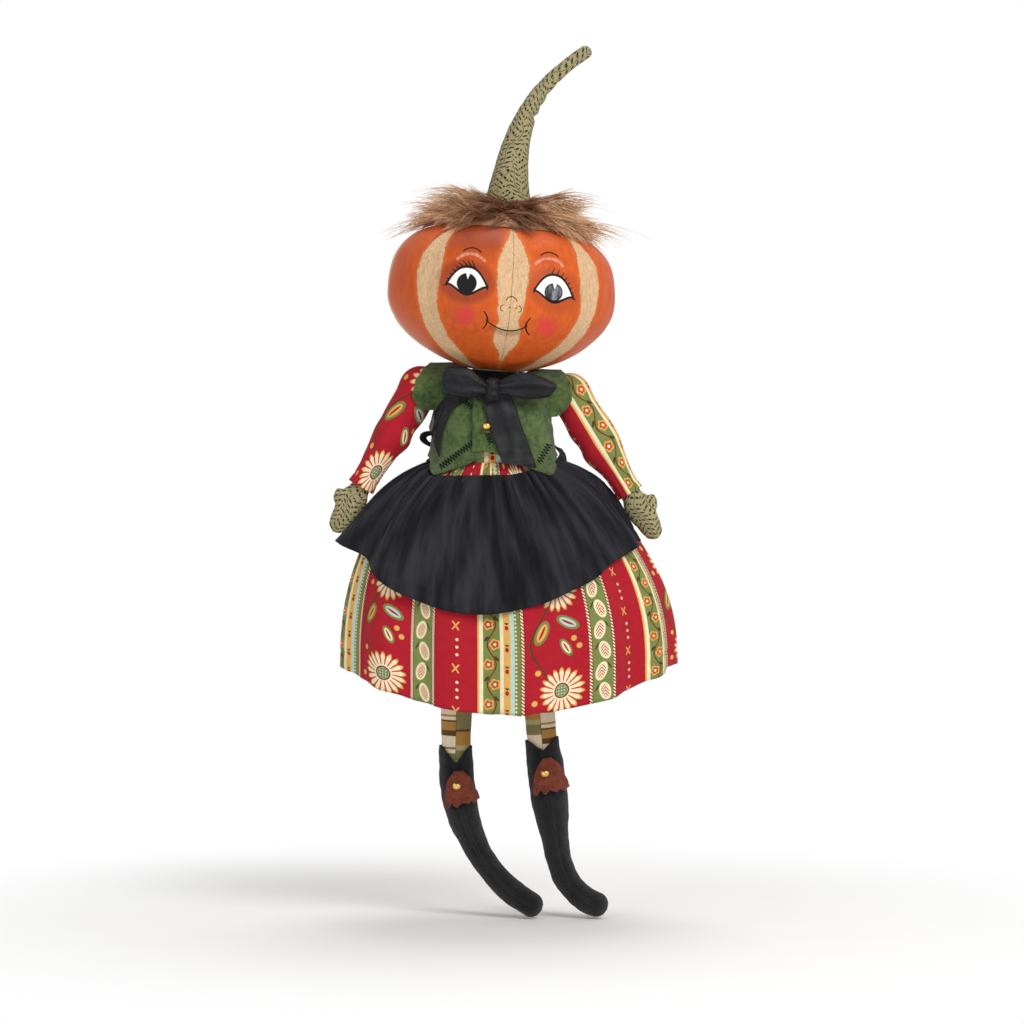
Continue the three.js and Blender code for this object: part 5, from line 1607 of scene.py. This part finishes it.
def make_waistband(finish):
    """The folded band that the apron is gathered into."""
    BAND_CUT, BAND_SEEN = 16, 9
    OFF_TRUNK, OFF_APRON, HALF_THICKNESS = 2.8, 0.6, 0.75
    GATHER_COUNT, GATHER_DEPTH, CREASE = 46, 0.55, 0.2

    def point(u, v):
        angle = FRONT - pi + 2 * pi * u
        turn = 2 * pi * v
        before = ease(-sin(angle), 0.15, 0.75)
        rise = min(APRON_RISE((angle - FRONT) / APRON_WRAP), 0)
        low = mix(BAND_FOOT, WAIST_HEIGHT - 4.5 + rise, before)
        high = mix(BAND_TOP, WAIST_HEIGHT - 0.5 + rise, before)
        z = mix(low, high, 0.5 - 0.5 * cos(turn))
        gathers = before * GATHER_DEPTH * cos(angle * GATHER_COUNT + 3 * sin(angle * 6))
        crease = CREASE * ripple((angle * 14, z / 6, 0), 1, 2)
        stand = HALF_THICKNESS * sin(turn) + crease + gathers
        off_trunk = OFF_TRUNK + stand
        on_trunk = section_point(angle, TRUNK_HALF_WIDTH(z) + off_trunk, trunk_half_depth(z) + off_trunk, z)
        return on_trunk.lerp(skirt_point(angle, z, APRON_STAND + OFF_APRON + stand), before)

    around = 2 * pi * WAIST_HALF * 0.9
    band = round_piece("waistband_cloth", point, 120, 16, ribbon_map(around, BAND_CUT))
    return dress(band, "trunk", finish, "black_cotton", "apron_waistband")


# The vest and its stitches
def vest_section(z):
    """Half width and half depth of the middle of the felt at a height."""
    OVER_BAND, OVER_BODICE, EASING = 4.7, 3.4, 8
    stand = mix(OVER_BAND, OVER_BODICE, ease(z, BAND_TOP, BAND_TOP + EASING))
    skirt_width, skirt_depth, _, _ = bell_section(z)
    flare = 1 - ease(z, WAIST_HEIGHT + 0.8, BAND_TOP)
    over_apron = APRON_STAND + 2.8
    half_width = mix(TRUNK_HALF_WIDTH(z) + stand, skirt_width + over_apron, flare)
    return half_width, mix(trunk_half_depth(z) + stand, skirt_depth + over_apron, flare)


def vest_front(x, z, stand=0.0):
    """A point on the outside of the vest's front, by its place in the front view."""
    half_width, half_depth = vest_section(z)
    thick = VEST_THICKNESS / 2
    share = min(abs(x) / (half_width + thick), 0.985)
    bulge = (1 - share**SECTION_POWER) ** (1 / SECTION_POWER)
    return Vector((x, -(half_depth + thick) * bulge - stand, z))


def armhole_turn(z):
    """The angle from the middle of the front at which a panel ends under its cap."""
    _, half_depth = vest_section(z)
    open_turn = acos(min(CAP_RADIUS / half_depth, 1)) + 0.25
    return mix(pi / 2, min(open_turn, pi / 2), ease(z, UNDERARM - 7, UNDERARM))


def front_hem(turn):
    """Height of the hem of a front panel: high at the opening, low at its point."""
    POINT, RISE_FROM, RISE = radians(43), radians(45), radians(31)
    to_point = min(turn / POINT, 1)
    to_side = min(max((turn - RISE_FROM) / RISE, 0), 1)
    return mix(mix(VEST_CENTRE_HEM, VEST_POINT_HEM, to_point), VEST_SIDE_HEM, to_side)


def vest_point(turn, z, facing, stand):
    """A point on the felt, by its angle from the middle of the front or the back."""
    half_width, half_depth = vest_section(z)
    angle = FRONT + turn if facing < 0 else -FRONT - turn
    return section_point(angle, half_width + stand, half_depth + stand, z)


CAP_EDGES = {
    LEFT: along((-13.5, -3), (-11, 1.5), (-5.5, 4.4), (3, 2.8), (11, -1.5), (CAP_RADIUS, -5)),
    RIGHT: along((-13, -7), (-8, -1.5), (-3, 1.2), (5.5, 0.9), (11, -2), (CAP_RADIUS, -4.5)),
}


def cap_part(side, facing):
    """Half of the cap over the sleeve's head: a soft flap, rounded at its edge."""
    pivot_point = SHOULDERS[side]
    STRAIGHT = 0.36
    SHOULDER, SLOPE = SLEEVE_HEAD + 6, 0.2
    HANG, HANG_FROM = 0.15, 6
    TO_NECK = {LEFT: 9, RIGHT: 7}
    root = abs(pivot_point.x) - SHOULDER - TO_NECK[side]
    edge = CAP_EDGES[side]

    def point(u, v):
        if u < STRAIGHT:
            down = 1 - u / STRAIGHT
            depth, z = CAP_RADIUS - 1.2 * down**2, -CAP_DROP * down
        else:
            turn = (u - STRAIGHT) / (1 - STRAIGHT) * pi / 2
            depth, z = CAP_RADIUS * cos(turn), CAP_RADIUS * sin(turn)
        across = mix(root - abs(pivot_point.x), edge(z), v)
        hang = HANG * max(across + HANG_FROM, 0) ** 1.5 / HANG_FROM
        depth = depth * (1 - hang * 0.12) + 0.5 * sin(across * 0.5 + z * 0.3) * v
        z -= hang * 0.9 * ease(z, 0, CAP_RADIUS) + SLOPE * max(-SHOULDER - across, 0)
        return Vector((side * (abs(pivot_point.x) + across), facing * depth, pivot_point.z + z))

    return grid(point, 34, 26, plain)


def front_part(side):
    """The body of a front panel. The right one laps over the left."""
    lap = VEST_LAP if side == RIGHT else -VEST_LAP * 0.5
    _, half_depth = vest_section(BUTTON_HEIGHT)
    start = -lap / half_depth
    over = 1.7 if side == RIGHT else 0
    SEAM_IN, SEAM_DEPTH, SEAM_WIDTH = 5, 0.5, 2.2
    FLARE, FLARE_HEIGHT = 0.8, 12

    def point(u, v):
        low_turn = mix(start, pi / 2, u)
        z = mix(front_hem(max(low_turn, 0)), VEST_TOP, v)
        turn = mix(start, armhole_turn(z), u)
        off_edge = (turn - start) * half_depth
        stand = over * (1 - ease(off_edge, 4, 14)) - SEAM_DEPTH * hump(off_edge, SEAM_IN, SEAM_WIDTH)
        flare = FLARE * ease(VEST_POINT_HEM + FLARE_HEIGHT - z, 0, FLARE_HEIGHT) * ease(turn, 0.2, 0.8)
        return vest_point(side * turn, z, -1, stand + flare)

    return grid(point, 60, 52, plain)


def rear_part():
    def point(u, v):
        z = mix(VEST_BACK_HEM, VEST_TOP, v)
        return vest_point(mix(-1, 1, u) * armhole_turn(z), z, 1, 0)

    return grid(point, 90, 40, plain)


def felt_panel(name, parts):
    """Felt cut as some shapes that run into each other, with soft edges and an uneven surface."""
    LUMPS = ((0.55, 13, 2), (0.2, 4, 5))
    panel = thicken(piece_from(name, *joined(*parts)), VEST_THICKNESS)
    remade(panel)
    return swell(panel, lambda here: lumpy(here, LUMPS))


def make_vest(finish):
    """Two front panels and a back of thick felt, each with its half of the caps."""
    panels = {}
    for side in (LEFT, RIGHT):
        name = SIDE_NAMES[side]
        panels[side] = felt_panel("vest_" + name, [front_part(side), cap_part(side, -1)])
        dress(panels[side], "trunk", finish, "green_felt", "vest_front_" + name)
    rear = felt_panel("vest_rear", [rear_part(), cap_part(LEFT, 1), cap_part(RIGHT, 1)])
    dress(rear, "trunk", finish, "green_felt", "vest_back")
    return panels


def surface_of(panel):
    """A way to find the point of a panel's outside that the front view shows at a place."""
    mesh = panel.data
    tree = BVHTree.FromPolygons([v.co / MM for v in mesh.vertices], [f.vertices for f in mesh.polygons])

    def touch(x, z, stand):
        hit, *_ = tree.ray_cast(Vector((x, -HEAD_HALF_WIDTH * 2, z)), Vector((0, 1, 0)))
        return hit - Vector((0, stand, 0)) if hit else None

    return touch


def make_vest_stitches(panels, finish):
    """Black zigzag seams along the darts and the collar of the vest."""
    SEAMS = (
        (LEFT, (-30, 71.5), (-11, 86), 3.7, 26),
        (RIGHT, (26.5, 74), (32.5, 84.5), 3.7, 14),
        (LEFT, (-16, 109), (-9.5, 104), 3, 10),
        (RIGHT, (-3.4, 91), (-1, 85), 3, 8),
    )
    STAND, THREAD = 0.25, 0.27
    parts = []
    for side, start, end, width, stitches in SEAMS:
        start, end = Vector((start[0], 0, start[1])), Vector((end[0], 0, end[1]))
        across = (end - start).normalized().cross(Vector((0, 1, 0))) * (width / 2)
        touch = surface_of(panels[side])
        zigzag = [(start.lerp(end, i / stitches), 1 if i % 2 else -1) for i in range(stitches + 1)]
        corners = [place + across * way for place, way in zigzag]
        laid = [touch(corner.x, corner.z, STAND) for corner in spread(corners, stitches * 6 + 1)]
        parts.append(tube([place for place in laid if place], THREAD, 5))
    thread = piece_from("vest_stitches", *joined(*parts))
    return dress(thread, "trunk", finish, "black_cotton")


def make_bead(name, node, body, finish):
    """A round bead with a drilled hole."""
    HOLE_RIM, HOLE_FLOOR, HOLE_DEPTH = 0.3, 0.1, 0.35
    low, high = reach_of(node)
    centre, radius = (low + high) / 2, (high.z - low.z) / 2
    ball = {"segments": 40, "ring_count": 24, "radius": radius * MM, "location": centre * MM}
    bpy.ops.mesh.primitive_uv_sphere_add(**ball)
    bead = bpy.context.object
    bead.name = name
    bpy.ops.object.transform_apply(location=True, rotation=True, scale=True)
    for vertex in bead.data.vertices:
        off = vertex.co / MM - centre
        hole = sqrt(off.x**2 + off.z**2) / radius
        if off.y < 0:
            vertex.co.y += ease(hole, HOLE_RIM, HOLE_FLOOR) * radius * HOLE_DEPTH * MM
    bpy.ops.object.shade_smooth()
    bpy.ops.object.select_all(action="DESELECT")
    return dress(bead, body, finish, "gold_bead", node)


# Ribbons: the neck bow and the apron's tie
def ribbon_loop(centre, width, side, rise, length, depth, droop, narrowing, twist):
    """Points of one loop of a bow: the ribbon leaves the knot, goes round and comes back."""
    ROOT, ROOT_WIDTH = 1.7, 0.4
    PLEAT, WAVE, SAG = 0.75, 0.35, 0.6
    turn = Matrix.Rotation(-rise if side > 0 else rise, 3, "Y")

    def point(u, v):
        around = 2 * pi * v
        out = 0.5 - 0.5 * cos(around)
        edge = 2 * u - 1
        x = ROOT + (length - ROOT) * out**0.9 * (1 - 0.1 * edge**2 * out)
        x -= 0.8 * sin(u * 7 + side) * out**3
        puff = (0.5 + 0.5 * out) * (1 - 0.35 * edge**2)
        y = depth / 2 * sin(around) * puff
        full = width * mix(ROOT_WIDTH, 1, ease(out, 0.0, 0.5)) * (1 - narrowing * out**2)
        pleats = PLEAT * sin(u * 12 + side) * (1 - out) ** 1.5
        pleats += WAVE * sin(u * 6 + 5 * out + side) * out
        y += pleats * (1 if v < 0.5 else -1)
        z = edge / 2 * full - droop * out**2 + SAG * sin(out * 4 + side)
        twisted = Matrix.Rotation(twist * ease(out, 0, 0.6), 3, "X") @ Vector((side * x, y, z))
        return centre + turn @ twisted

    return point


def make_bow(name, centre, halves, width, knot_size, finish, slot, nodes):
    """The two loops and the knot of a bow."""
    ROUND_LOOP, KNOT_RUN = 2.15, 30
    parts = []
    for half in halves:
        run = half["length"] * ROUND_LOOP
        parts.append(grid(ribbon_loop(centre, width, **half), 14, 56, ribbon_map(width, run)))
    loops = piece_from(name + "_loops", *joined(*parts))
    thicken(loops, RIBBON_THICKNESS)
    dress(loops, "trunk", finish, slot, *[node for node in nodes if "loop" in node])

    def knot(u, v):
        turn = 2 * pi * u
        roll = -cos(pi * v)
        radius = sqrt(max(1 - roll**2, 0)) ** 0.6
        pleats = 1 + 0.06 * cos(turn * 2 + roll * 7) + 0.05 * sin(roll * 11)
        across = knot_size[0] / 2 * (0.78 + 0.22 * abs(roll)) * cos(turn) * radius * pleats
        through = knot_size[1] / 2 * sin(turn) * radius * pleats
        return centre + Vector((across, through, knot_size[2] / 2 * roll))

    tied = round_piece(name + "_knot", knot, 40, 28, ribbon_map(width, KNOT_RUN))
    dress(tied, "trunk", finish, slot, *[node for node in nodes if "knot" in node])


def make_neck_bow(finish):
    """The wide sheer bow under the chin, its ribbon round the neck and its two tails."""
    LOOP_WIDTH = 17.5
    BAND_RUN, BAND_SEEN = 90, 8
    NECK_REACH, NECK_FOOT, NECK_RISE, NECK_SPREAD = 14.3, 7.5, 0.9, 5.5
    NECK_FOLD, NECK_PLEAT, NECK_PLEATS = 0.8, 0.35, 13
    TAILS = ((LEFT, 14.5, 44), (RIGHT, 18.8, 43))
    OFF_VEST, TAIL_WAVE, TAIL_PLEAT = 1.9, 1.1, 0.7
    low, high = reach_of("bow_knot")
    centre = (low + high) / 2
    halves = (
        dict(side=LEFT, rise=radians(12), length=30, depth=9.2, droop=0.5, narrowing=0.07, twist=0),
        dict(side=RIGHT, rise=radians(9), length=35.5, depth=9.2, droop=3.5, narrowing=0.4, twist=0),
    )
    nodes = ("bow_loop_left", "bow_loop_right", "bow_knot")
    size = (9.5, 7.6, 13.5)
    make_bow("neck_bow", centre, halves, LOOP_WIDTH, size, finish, "organza", nodes)

    EDGES = {
        LEFT: (
            along((0, -12), (0.22, -26), (0.45, -34), (0.65, -36.9), (0.82, -34.5), (1, -30.9)),
            along((0, 117), (0.22, 116), (0.45, 104), (0.65, 94), (0.82, 86), (1, 77.5)),
            along((0, -5), (0.22, -11), (0.45, -22.5), (0.65, -28.5), (0.82, -30), (1, -30.3)),
            along((0, 111), (0.22, 112), (0.45, 105), (0.65, 94), (0.82, 86), (1, 77.5)),
        ),
        RIGHT: (
            along((0, -5), (0.12, -7), (0.5, -1.5), (1, 5.4)),
            along((0, 114), (0.12, 111), (0.5, 93), (1, 74)),
            along((0, 8), (0.12, 11.5), (0.5, 18), (1, 25.2)),
            along((0, 114), (0.12, 110.5), (0.5, 91), (1, 71.4)),
        ),
    }

    def tail(side):
        left_x, left_z, right_x, right_z = EDGES[side]

        def point(u, v):
            x, z = mix(left_x(v), right_x(v), u), mix(left_z(v), right_z(v), u)
            lie = vest_front(x, z).y - OFF_VEST - TAIL_WAVE * sin(v * 6 + u * 4 + side) ** 2 * v
            lie -= TAIL_PLEAT * cos(u * 3 * pi) * (1 - v) * ease(v, 0, 0.2)
            return Vector((x, min(mix(centre.y + 2, lie, ease(v, 0, 0.3)), lie), z))

        return point

    for side, width, length in TAILS:
        name = SIDE_NAMES[side]
        parts = grid(tail(side), 20, 44, ribbon_map(RIBBON_WIDTH, length))
        ribbon = piece_from("bow_tail_%s_ribbon" % name, *parts)
        thicken(ribbon, RIBBON_THICKNESS)
        dress(ribbon, "trunk", finish, "organza", "bow_tail_" + name)

    def collar(u, v):
        angle = 2 * pi * u
        turn = 2 * pi * v
        z = -HEAD_HALF_HEIGHT + mix(-NECK_FOOT, NECK_RISE, 0.5 - 0.5 * cos(turn))
        spread_out = NECK_SPREAD * ease(-z, HEAD_HALF_HEIGHT, HEAD_HALF_HEIGHT + NECK_FOOT)
        radius = NECK_REACH + NECK_FOLD * sin(turn) + NECK_PLEAT * cos(angle * NECK_PLEATS + z) + spread_out
        return to_head(Vector((radius * cos(angle), radius * sin(angle), z)))

    round_neck = round_piece("neck_ribbon_band", collar, 72, 12, ribbon_map(BAND_RUN, BAND_SEEN))
    dress(round_neck, "trunk", finish, "organza", "neck_ribbon")


def make_tie(finish):
    """The apron's tie behind: a bow with two uneven loops and two hanging ends."""
    low, high = reach_of("tie_knot")
    centre = (low + high) / 2
    halves = (
        dict(side=LEFT, rise=radians(12), length=44, depth=13, droop=4, narrowing=0.07, twist=radians(88)),
        dict(side=RIGHT, rise=radians(4), length=35, depth=7, droop=3, narrowing=0.07, twist=0),
    )
    nodes = ("tie_loop_left", "tie_loop_right", "tie_knot")
    size = (9, high.y - low.y, 9.6)
    make_bow("apron_tie", centre, halves, TIE_WIDTH, size, finish, "black_cotton", nodes)
    ROOT_WIDTH, ROOT_OUT, OFF_SKIRT, TIE_THICKNESS = 4.5, 2.7, 2.6, 0.7
    ENDS, END_STAND, END_WAVE = ((LEFT, 40, 46), (RIGHT, 22, 62)), 1.3, 0.5
    top = centre.z - 5.2

    def tail(side, reach, drop):
        def point(u, v):
            width = mix(ROOT_WIDTH, TIE_WIDTH, ease(v, 0, 0.3))
            x = side * mix(ROOT_OUT, reach, v) + (u - 0.5) * width
            z = top - drop * v
            half_width, half_depth, bell, centre_x = bell_section(z)
            share = min(abs(x - centre_x) / half_width, 0.97)
            bulge = (1 - share**SECTION_POWER) ** (1 / SECTION_POWER)
            lie = (half_depth + OFF_SKIRT + FOLD_DEPTH * bell) * bulge
            lie += END_STAND + END_WAVE * sin(u * 5 + v * 7)
            return Vector((x, max(mix(centre.y, lie, ease(v, 0, 0.25)), lie), z))

        return point

    for side, reach, drop in ENDS:
        name = SIDE_NAMES[side]
        parts = grid(tail(side, reach, drop), 10, 40, ribbon_map(TIE_WIDTH, drop))
        end = piece_from("tie_tail_%s_cloth" % name, *parts)
        thicken(end, TIE_THICKNESS)
        dress(end, "trunk", finish, "black_cotton", "tie_tail_" + name)


# The legs and boots
LEG_RADIUS = along(
    (-LEG_LENGTH, ANKLE_RADIUS),
    (-BOOT_TOP, ANKLE_RADIUS + 0.5),
    (-LEG_LENGTH * 0.3, THIGH_RADIUS),
    (0, HIP_RADIUS),
)


def make_leg(side, finish):
    """A thin stuffed leg, seamed down the front, that ends inside its boot."""
    END = -BOOT_TOP - 12
    HIP_SHARE, END_SHARE, TUCKED_IN = 0.12, 0.02, 0.6
    SEAM, SEAM_WIDTH, LUMP, LUMP_SIZE = 0.4, 0.8, 0.3, 7

    def point(u, v):
        angle = 2 * pi * u - pi / 2
        if v < HIP_SHARE:
            turn = v / HIP_SHARE * pi / 2
            z, radius = HIP_RADIUS * cos(turn), HIP_RADIUS * sin(turn)
        else:
            z = mix(0, END, (v - HIP_SHARE) / (1 - HIP_SHARE))
            radius = LEG_RADIUS(z) - TUCKED_IN * ease(-z, BOOT_TOPS[side] - 1, BOOT_TOPS[side] + 3)
            radius *= min((1 - v) / END_SHARE, 1)
        off_seam = min(abs(u - 0.5), 0.5) * 2 * pi * radius
        near_end = min(radius / 4, 1)
        radius -= SEAM * hump(off_seam, 0, SEAM_WIDTH) * near_end
        here = Vector((radius * cos(angle), radius * sin(angle), z))
        lump = LUMP * ripple(here, LUMP_SIZE, side) * min(radius / 4, 1)
        here += Vector((cos(angle), sin(angle), 0)) * lump
        return to_leg[side](here)

    def flat(u, v):
        return ((u - 0.5) * 2 * pi * THIGH_RADIUS, v * (BOOT_TOP + 26))

    name = SIDE_NAMES[side]
    leg = round_piece(name + "_leg_limb", point, 48, 90, flat)
    return dress(leg, name + "_leg", finish, "striped_cloth", name + "_leg")


def boot_share(side, t):
    """The boot's width at a share of its length, as a share of its fullest width."""
    CALVES = {LEFT: 0.05, RIGHT: 0.12}
    TOP, CALF_END, TAPER_FROM, TAPER_TO = 0.96, 0.6, 0.3, 0.75
    calf = CALVES[side] * sin(min(t / CALF_END, 1) * pi)
    return TOP + calf - (TOP - TOE_SHARE) * ease(t, TAPER_FROM, TAPER_TO)


def boot_line(side, t):
    """The middle of the boot: it sways aside down the shin, and the foot kicks out at its end."""
    SWAYS = {LEFT: (38, 2.5), RIGHT: (5, 1)}
    KICKS = {LEFT: (7, 10), RIGHT: (18.8, 9.5)}
    aside = sum(reach * t**power for reach, power in (SWAYS[side], KICKS[side]))
    return Vector((aside, 0, -BOOT_TOPS[side] - BOOT_DROPS[side] * t))


def boot_point(side, t, turn, stand):
    """A point on the boot, by its share of the centre line and its angle from the front."""
    STEP, FRONT_SHARE = 0.002, 1.04
    ahead = (boot_line(side, t + STEP) - boot_line(side, max(t - STEP, 0))).normalized()
    across = Vector((-ahead.z, 0, ahead.x))
    share = boot_share(side, t)
    depth = BOOT_HALF_DEPTH * mix(FRONT_SHARE, share, ease(t, 0.3, 0.7))
    here = boot_line(side, t) + across * ((BOOT_HALF_WIDTH * share + stand) * sin(turn))
    return here - Vector((0, (depth + stand) * cos(turn), 0))


def make_boot(side, finish):
    """A long felt boot: a notched top, a ridged seam down its front and a toe that curls aside."""
    LINING_SHARE, LINING_DEPTH, LINING_IN, TOE = 0.08, 0.11, 0.9, 0.93
    RIDGE, REAR_RIDGE, RIDGE_WIDTH = 0.55, 0.5, 0.1
    GROOVE, GROOVE_TURN = 0.35, 0.2
    LUMPS = ((0.5, 11, side), (0.28, 4, 3))

    def point(u, v):
        turn = 2 * pi * (u - 0.5)
        if v < LINING_SHARE:
            down = 1 - v / LINING_SHARE
            inner = boot_point(side, LINING_DEPTH * down, turn, -LINING_IN)
            inner.z += notch(turn) * (1 - down)
            return to_leg[side](inner)
        share = (v - LINING_SHARE) / (1 - LINING_SHARE)
        t = min(share / TOE, 1)
        past = max(share - TOE, 0) / (1 - TOE)
        here = boot_point(side, t, turn, 0)
        middle = boot_line(side, t)
        if past:
            ahead = (boot_line(side, 1) - boot_line(side, 0.99)).normalized()
            shrink = sqrt(max(1 - past**2, 0))
            beyond = ahead * (BOOT_HALF_WIDTH * TOE_SHARE * past)
            return to_leg[side](middle + (here - middle) * shrink + beyond)
        out = (here - middle).normalized()
        ridge = RIDGE * hump(turn, 0, RIDGE_WIDTH) - GROOVE * hump(abs(turn), GROOVE_TURN, RIDGE_WIDTH)
        ridge += REAR_RIDGE * hump(abs(turn), pi, RIDGE_WIDTH)
        lumps = lumpy(here, LUMPS)
        here += out * (ridge + lumps)
        here.z += notch(turn) * (1 - ease(t, 0, 0.16))
        return to_leg[side](here)

    def notch(turn):
        sideways = BOOT_HALF_WIDTH * abs(sin(turn)) if abs(turn) < pi / 2 else BOOT_HALF_WIDTH
        return -NOTCH_DEPTHS[side] * max(1 - sideways / NOTCH_HALF_WIDTH, 0)

    name = SIDE_NAMES[side]
    boot = round_piece(name + "_boot_felt", point, 72, 120)
    return dress(boot, name + "_leg", finish, "black_felt", name + "_boot")


def make_flap(side, finish):
    """A ragged flap of brown felt on the front of the boot, under its bead."""
    HALF_WRAP, ASIDE = radians(49), radians(8)
    TEETH = 4
    TOP = 0.16
    STAND = THICKNESS = 2.2
    TOOTH, UNEVEN, CURL, LUMP = 2.6, 1.6, 1.3, 0.4

    def point(u, v):
        ragged = TOOTH * abs(sin(u * TEETH * pi + 0.4)) ** 0.6 + UNEVEN * ripple((u * 8, side, 0), 1)
        rounding = mix(TOP, 1, ease(sqrt(v), 0, 1.1) ** 0.8) * (1 + 0.06 * ripple((v * 7, u * 3, side), 1))
        turn = mix(-1, 1, u) * HALF_WRAP * rounding + ASIDE
        drop = FLAP_DROPS[side] + v * (FLAP_LENGTH - 2.4) + ragged * v**2
        curl = CURL * v**3 + LUMP * ripple((u * 4, v * 4, side), 1)
        return to_leg[side](boot_point(side, drop / BOOT_DROPS[side], turn, STAND + curl))

    name = SIDE_NAMES[side]
    flap = piece_from(name + "_flap_felt", *grid(point, 40, 24, ribbon_map(FLAP_LENGTH, FLAP_LENGTH)))
    thicken(flap, THICKNESS)
    round_off(flap)
    return dress(flap, name + "_leg", finish, "brown_felt", name + "_boot_flap")


# The stage
SEEN_BY = ("Is Camera Ray", "Is Glossy Ray", "Is Transmission Ray")


def pale_floor():
    """A white floor that takes the doll's shadow and fades into the white behind it."""
    NEAR, FAR = 150, 420
    finish = Finish("pale_floor", Roughness=1.0, Specular_IOR_Level=0.0)
    x, y, _ = finish.parts(finish.place())
    tone = finish.noise(finish.place(), 60, 2)
    finish.feed(Base_Color=finish.mixed(tone, paint(246, 246, 245), paint(250, 250, 249)))
    path = finish.node("LightPath").outputs
    ways = [Value(finish, path[name]) for name in SEEN_BY]
    faded = finish.ease(finish.length(x, y), NEAR, FAR) * finish.most(*ways)
    tree = finish.material.node_tree
    white = tree.nodes.new("ShaderNodeEmission")
    both = tree.nodes.new("ShaderNodeMixShader")
    out = next(node for node in tree.nodes if node.type == "OUTPUT_MATERIAL")
    shaded = out.inputs["Surface"].links[0].from_socket
    tree.links.new(faded.socket, both.inputs[0])
    tree.links.new(shaded, both.inputs[1])
    tree.links.new(white.outputs[0], both.inputs[2])
    tree.links.new(both.outputs[0], out.inputs["Surface"])
    return finish.material


def make_stage():
    """A pale floor and backdrop, soft lamps and a camera straight before the doll."""
    LIT_BY, SEEN_AS = 0.43, 1.0
    scene = bpy.context.scene
    scene.view_settings.view_transform = "Standard"
    world = bpy.data.worlds.new("studio")
    scene.world = world
    world.use_nodes = True
    nodes, links = world.node_tree.nodes, world.node_tree.links
    back = nodes["Background"]
    path = nodes.new("ShaderNodeLightPath")
    ways = [path.outputs[name] for name in SEEN_BY]
    either = ways[0]
    for way in ways[1:]:
        most = nodes.new("ShaderNodeMath")
        most.operation = "MAXIMUM"
        links.new(either, most.inputs[0])
        links.new(way, most.inputs[1])
        either = most.outputs[0]
    strength = nodes.new("ShaderNodeMapRange")
    strength.inputs["To Min"].default_value = LIT_BY
    strength.inputs["To Max"].default_value = SEEN_AS
    links.new(either, strength.inputs["Value"])
    links.new(strength.outputs[0], back.inputs["Strength"])
    back.inputs["Color"].default_value = (1, 1, 1, 1)

    FLOOR_RADIUS = 1.6
    middle = Vector((0.011, 0, 0.045))
    floor_height = cad_box[0][2] - MM
    disc = {"vertices": 64, "radius": FLOOR_RADIUS, "location": (0, 0, floor_height)}
    bpy.ops.mesh.primitive_circle_add(fill_type="NGON", **disc)
    floor = bpy.context.object
    floor.name = "floor"
    floor.data.materials.append(pale_floor())
    bpy.ops.object.select_all(action="DESELECT")
    for name, place, size, power in (
        ("key_lamp", Vector((1.0, -1.5, 1.1)), 1.0, 25),
        ("fill_lamp", Vector((-1.2, -1.4, 0.4)), 1.2, 6),
        ("top_lamp", Vector((0.1, 0.5, 1.6)), 1.0, 9),
    ):
        lamp = bpy.data.lights.new(name, "AREA")
        lamp.shape = "DISK"
        lamp.size = size
        lamp.energy = power
        stand = bpy.data.objects.new(name, lamp)
        stand.location = place
        stand.rotation_mode = "QUATERNION"
        stand.rotation_quaternion = (middle - place).to_track_quat("-Z", "Y")
        scene.collection.objects.link(stand)

    WIDTH_SEEN = 0.592
    DISTANCE = 2.4
    ELEVATION = radians(2)
    camera = bpy.data.cameras.new("camera")
    camera.sensor_width = 36
    camera.lens = camera.sensor_width * DISTANCE / WIDTH_SEEN
    view = bpy.data.objects.new("camera", camera)
    toward = Vector((0, -cos(ELEVATION), sin(ELEVATION)))
    view.location = middle + toward * DISTANCE
    view.rotation_mode = "QUATERNION"
    view.rotation_quaternion = (-toward).to_track_quat("-Z", "Y")
    scene.collection.objects.link(view)
    scene.camera = view


def make_doll():
    cotton = black_cotton()
    dress_print = print_cloth()
    sprigs = sprig_cloth()
    body_cloth = muslin()
    gold = gold_bead()
    black = felt("black_felt", paint(30, 29, 31), paint(9, 9, 10))
    brown = felt("brown_felt", paint(134, 62, 38), paint(84, 34, 20))
    green = felt("green_felt", paint(98, 120, 66), paint(46, 64, 32))
    thread = sewing_thread("black_thread", INK, paint(38, 36, 34))
    sheer = organza(RIBBON_WIDTH)

    make_trunk(body_cloth)
    make_neck(body_cloth)
    make_head(painted_canvas())
    make_stem(sprigs)
    make_fur(fur_strands())
    make_skirt(dress_print)
    make_bodice(dress_print)
    make_apron(cotton)
    make_waistband(cotton)
    panels = make_vest(green)
    make_vest_stitches(panels, thread)
    make_neck_bow(sheer)
    make_tie(cotton)
    make_bead("vest_bead", "vest_button", "trunk", gold)
    for side in (LEFT, RIGHT):
        name = SIDE_NAMES[side]
        make_hand(side, sprigs)
        make_sleeve(side, dress_print)
        make_leg(side, striped_cloth(side))
        make_boot(side, black)
        make_flap(side, brown)
        make_bead(name + "_bead", name + "_boot_bead", name + "_leg", gold)


make_stage()
make_doll()
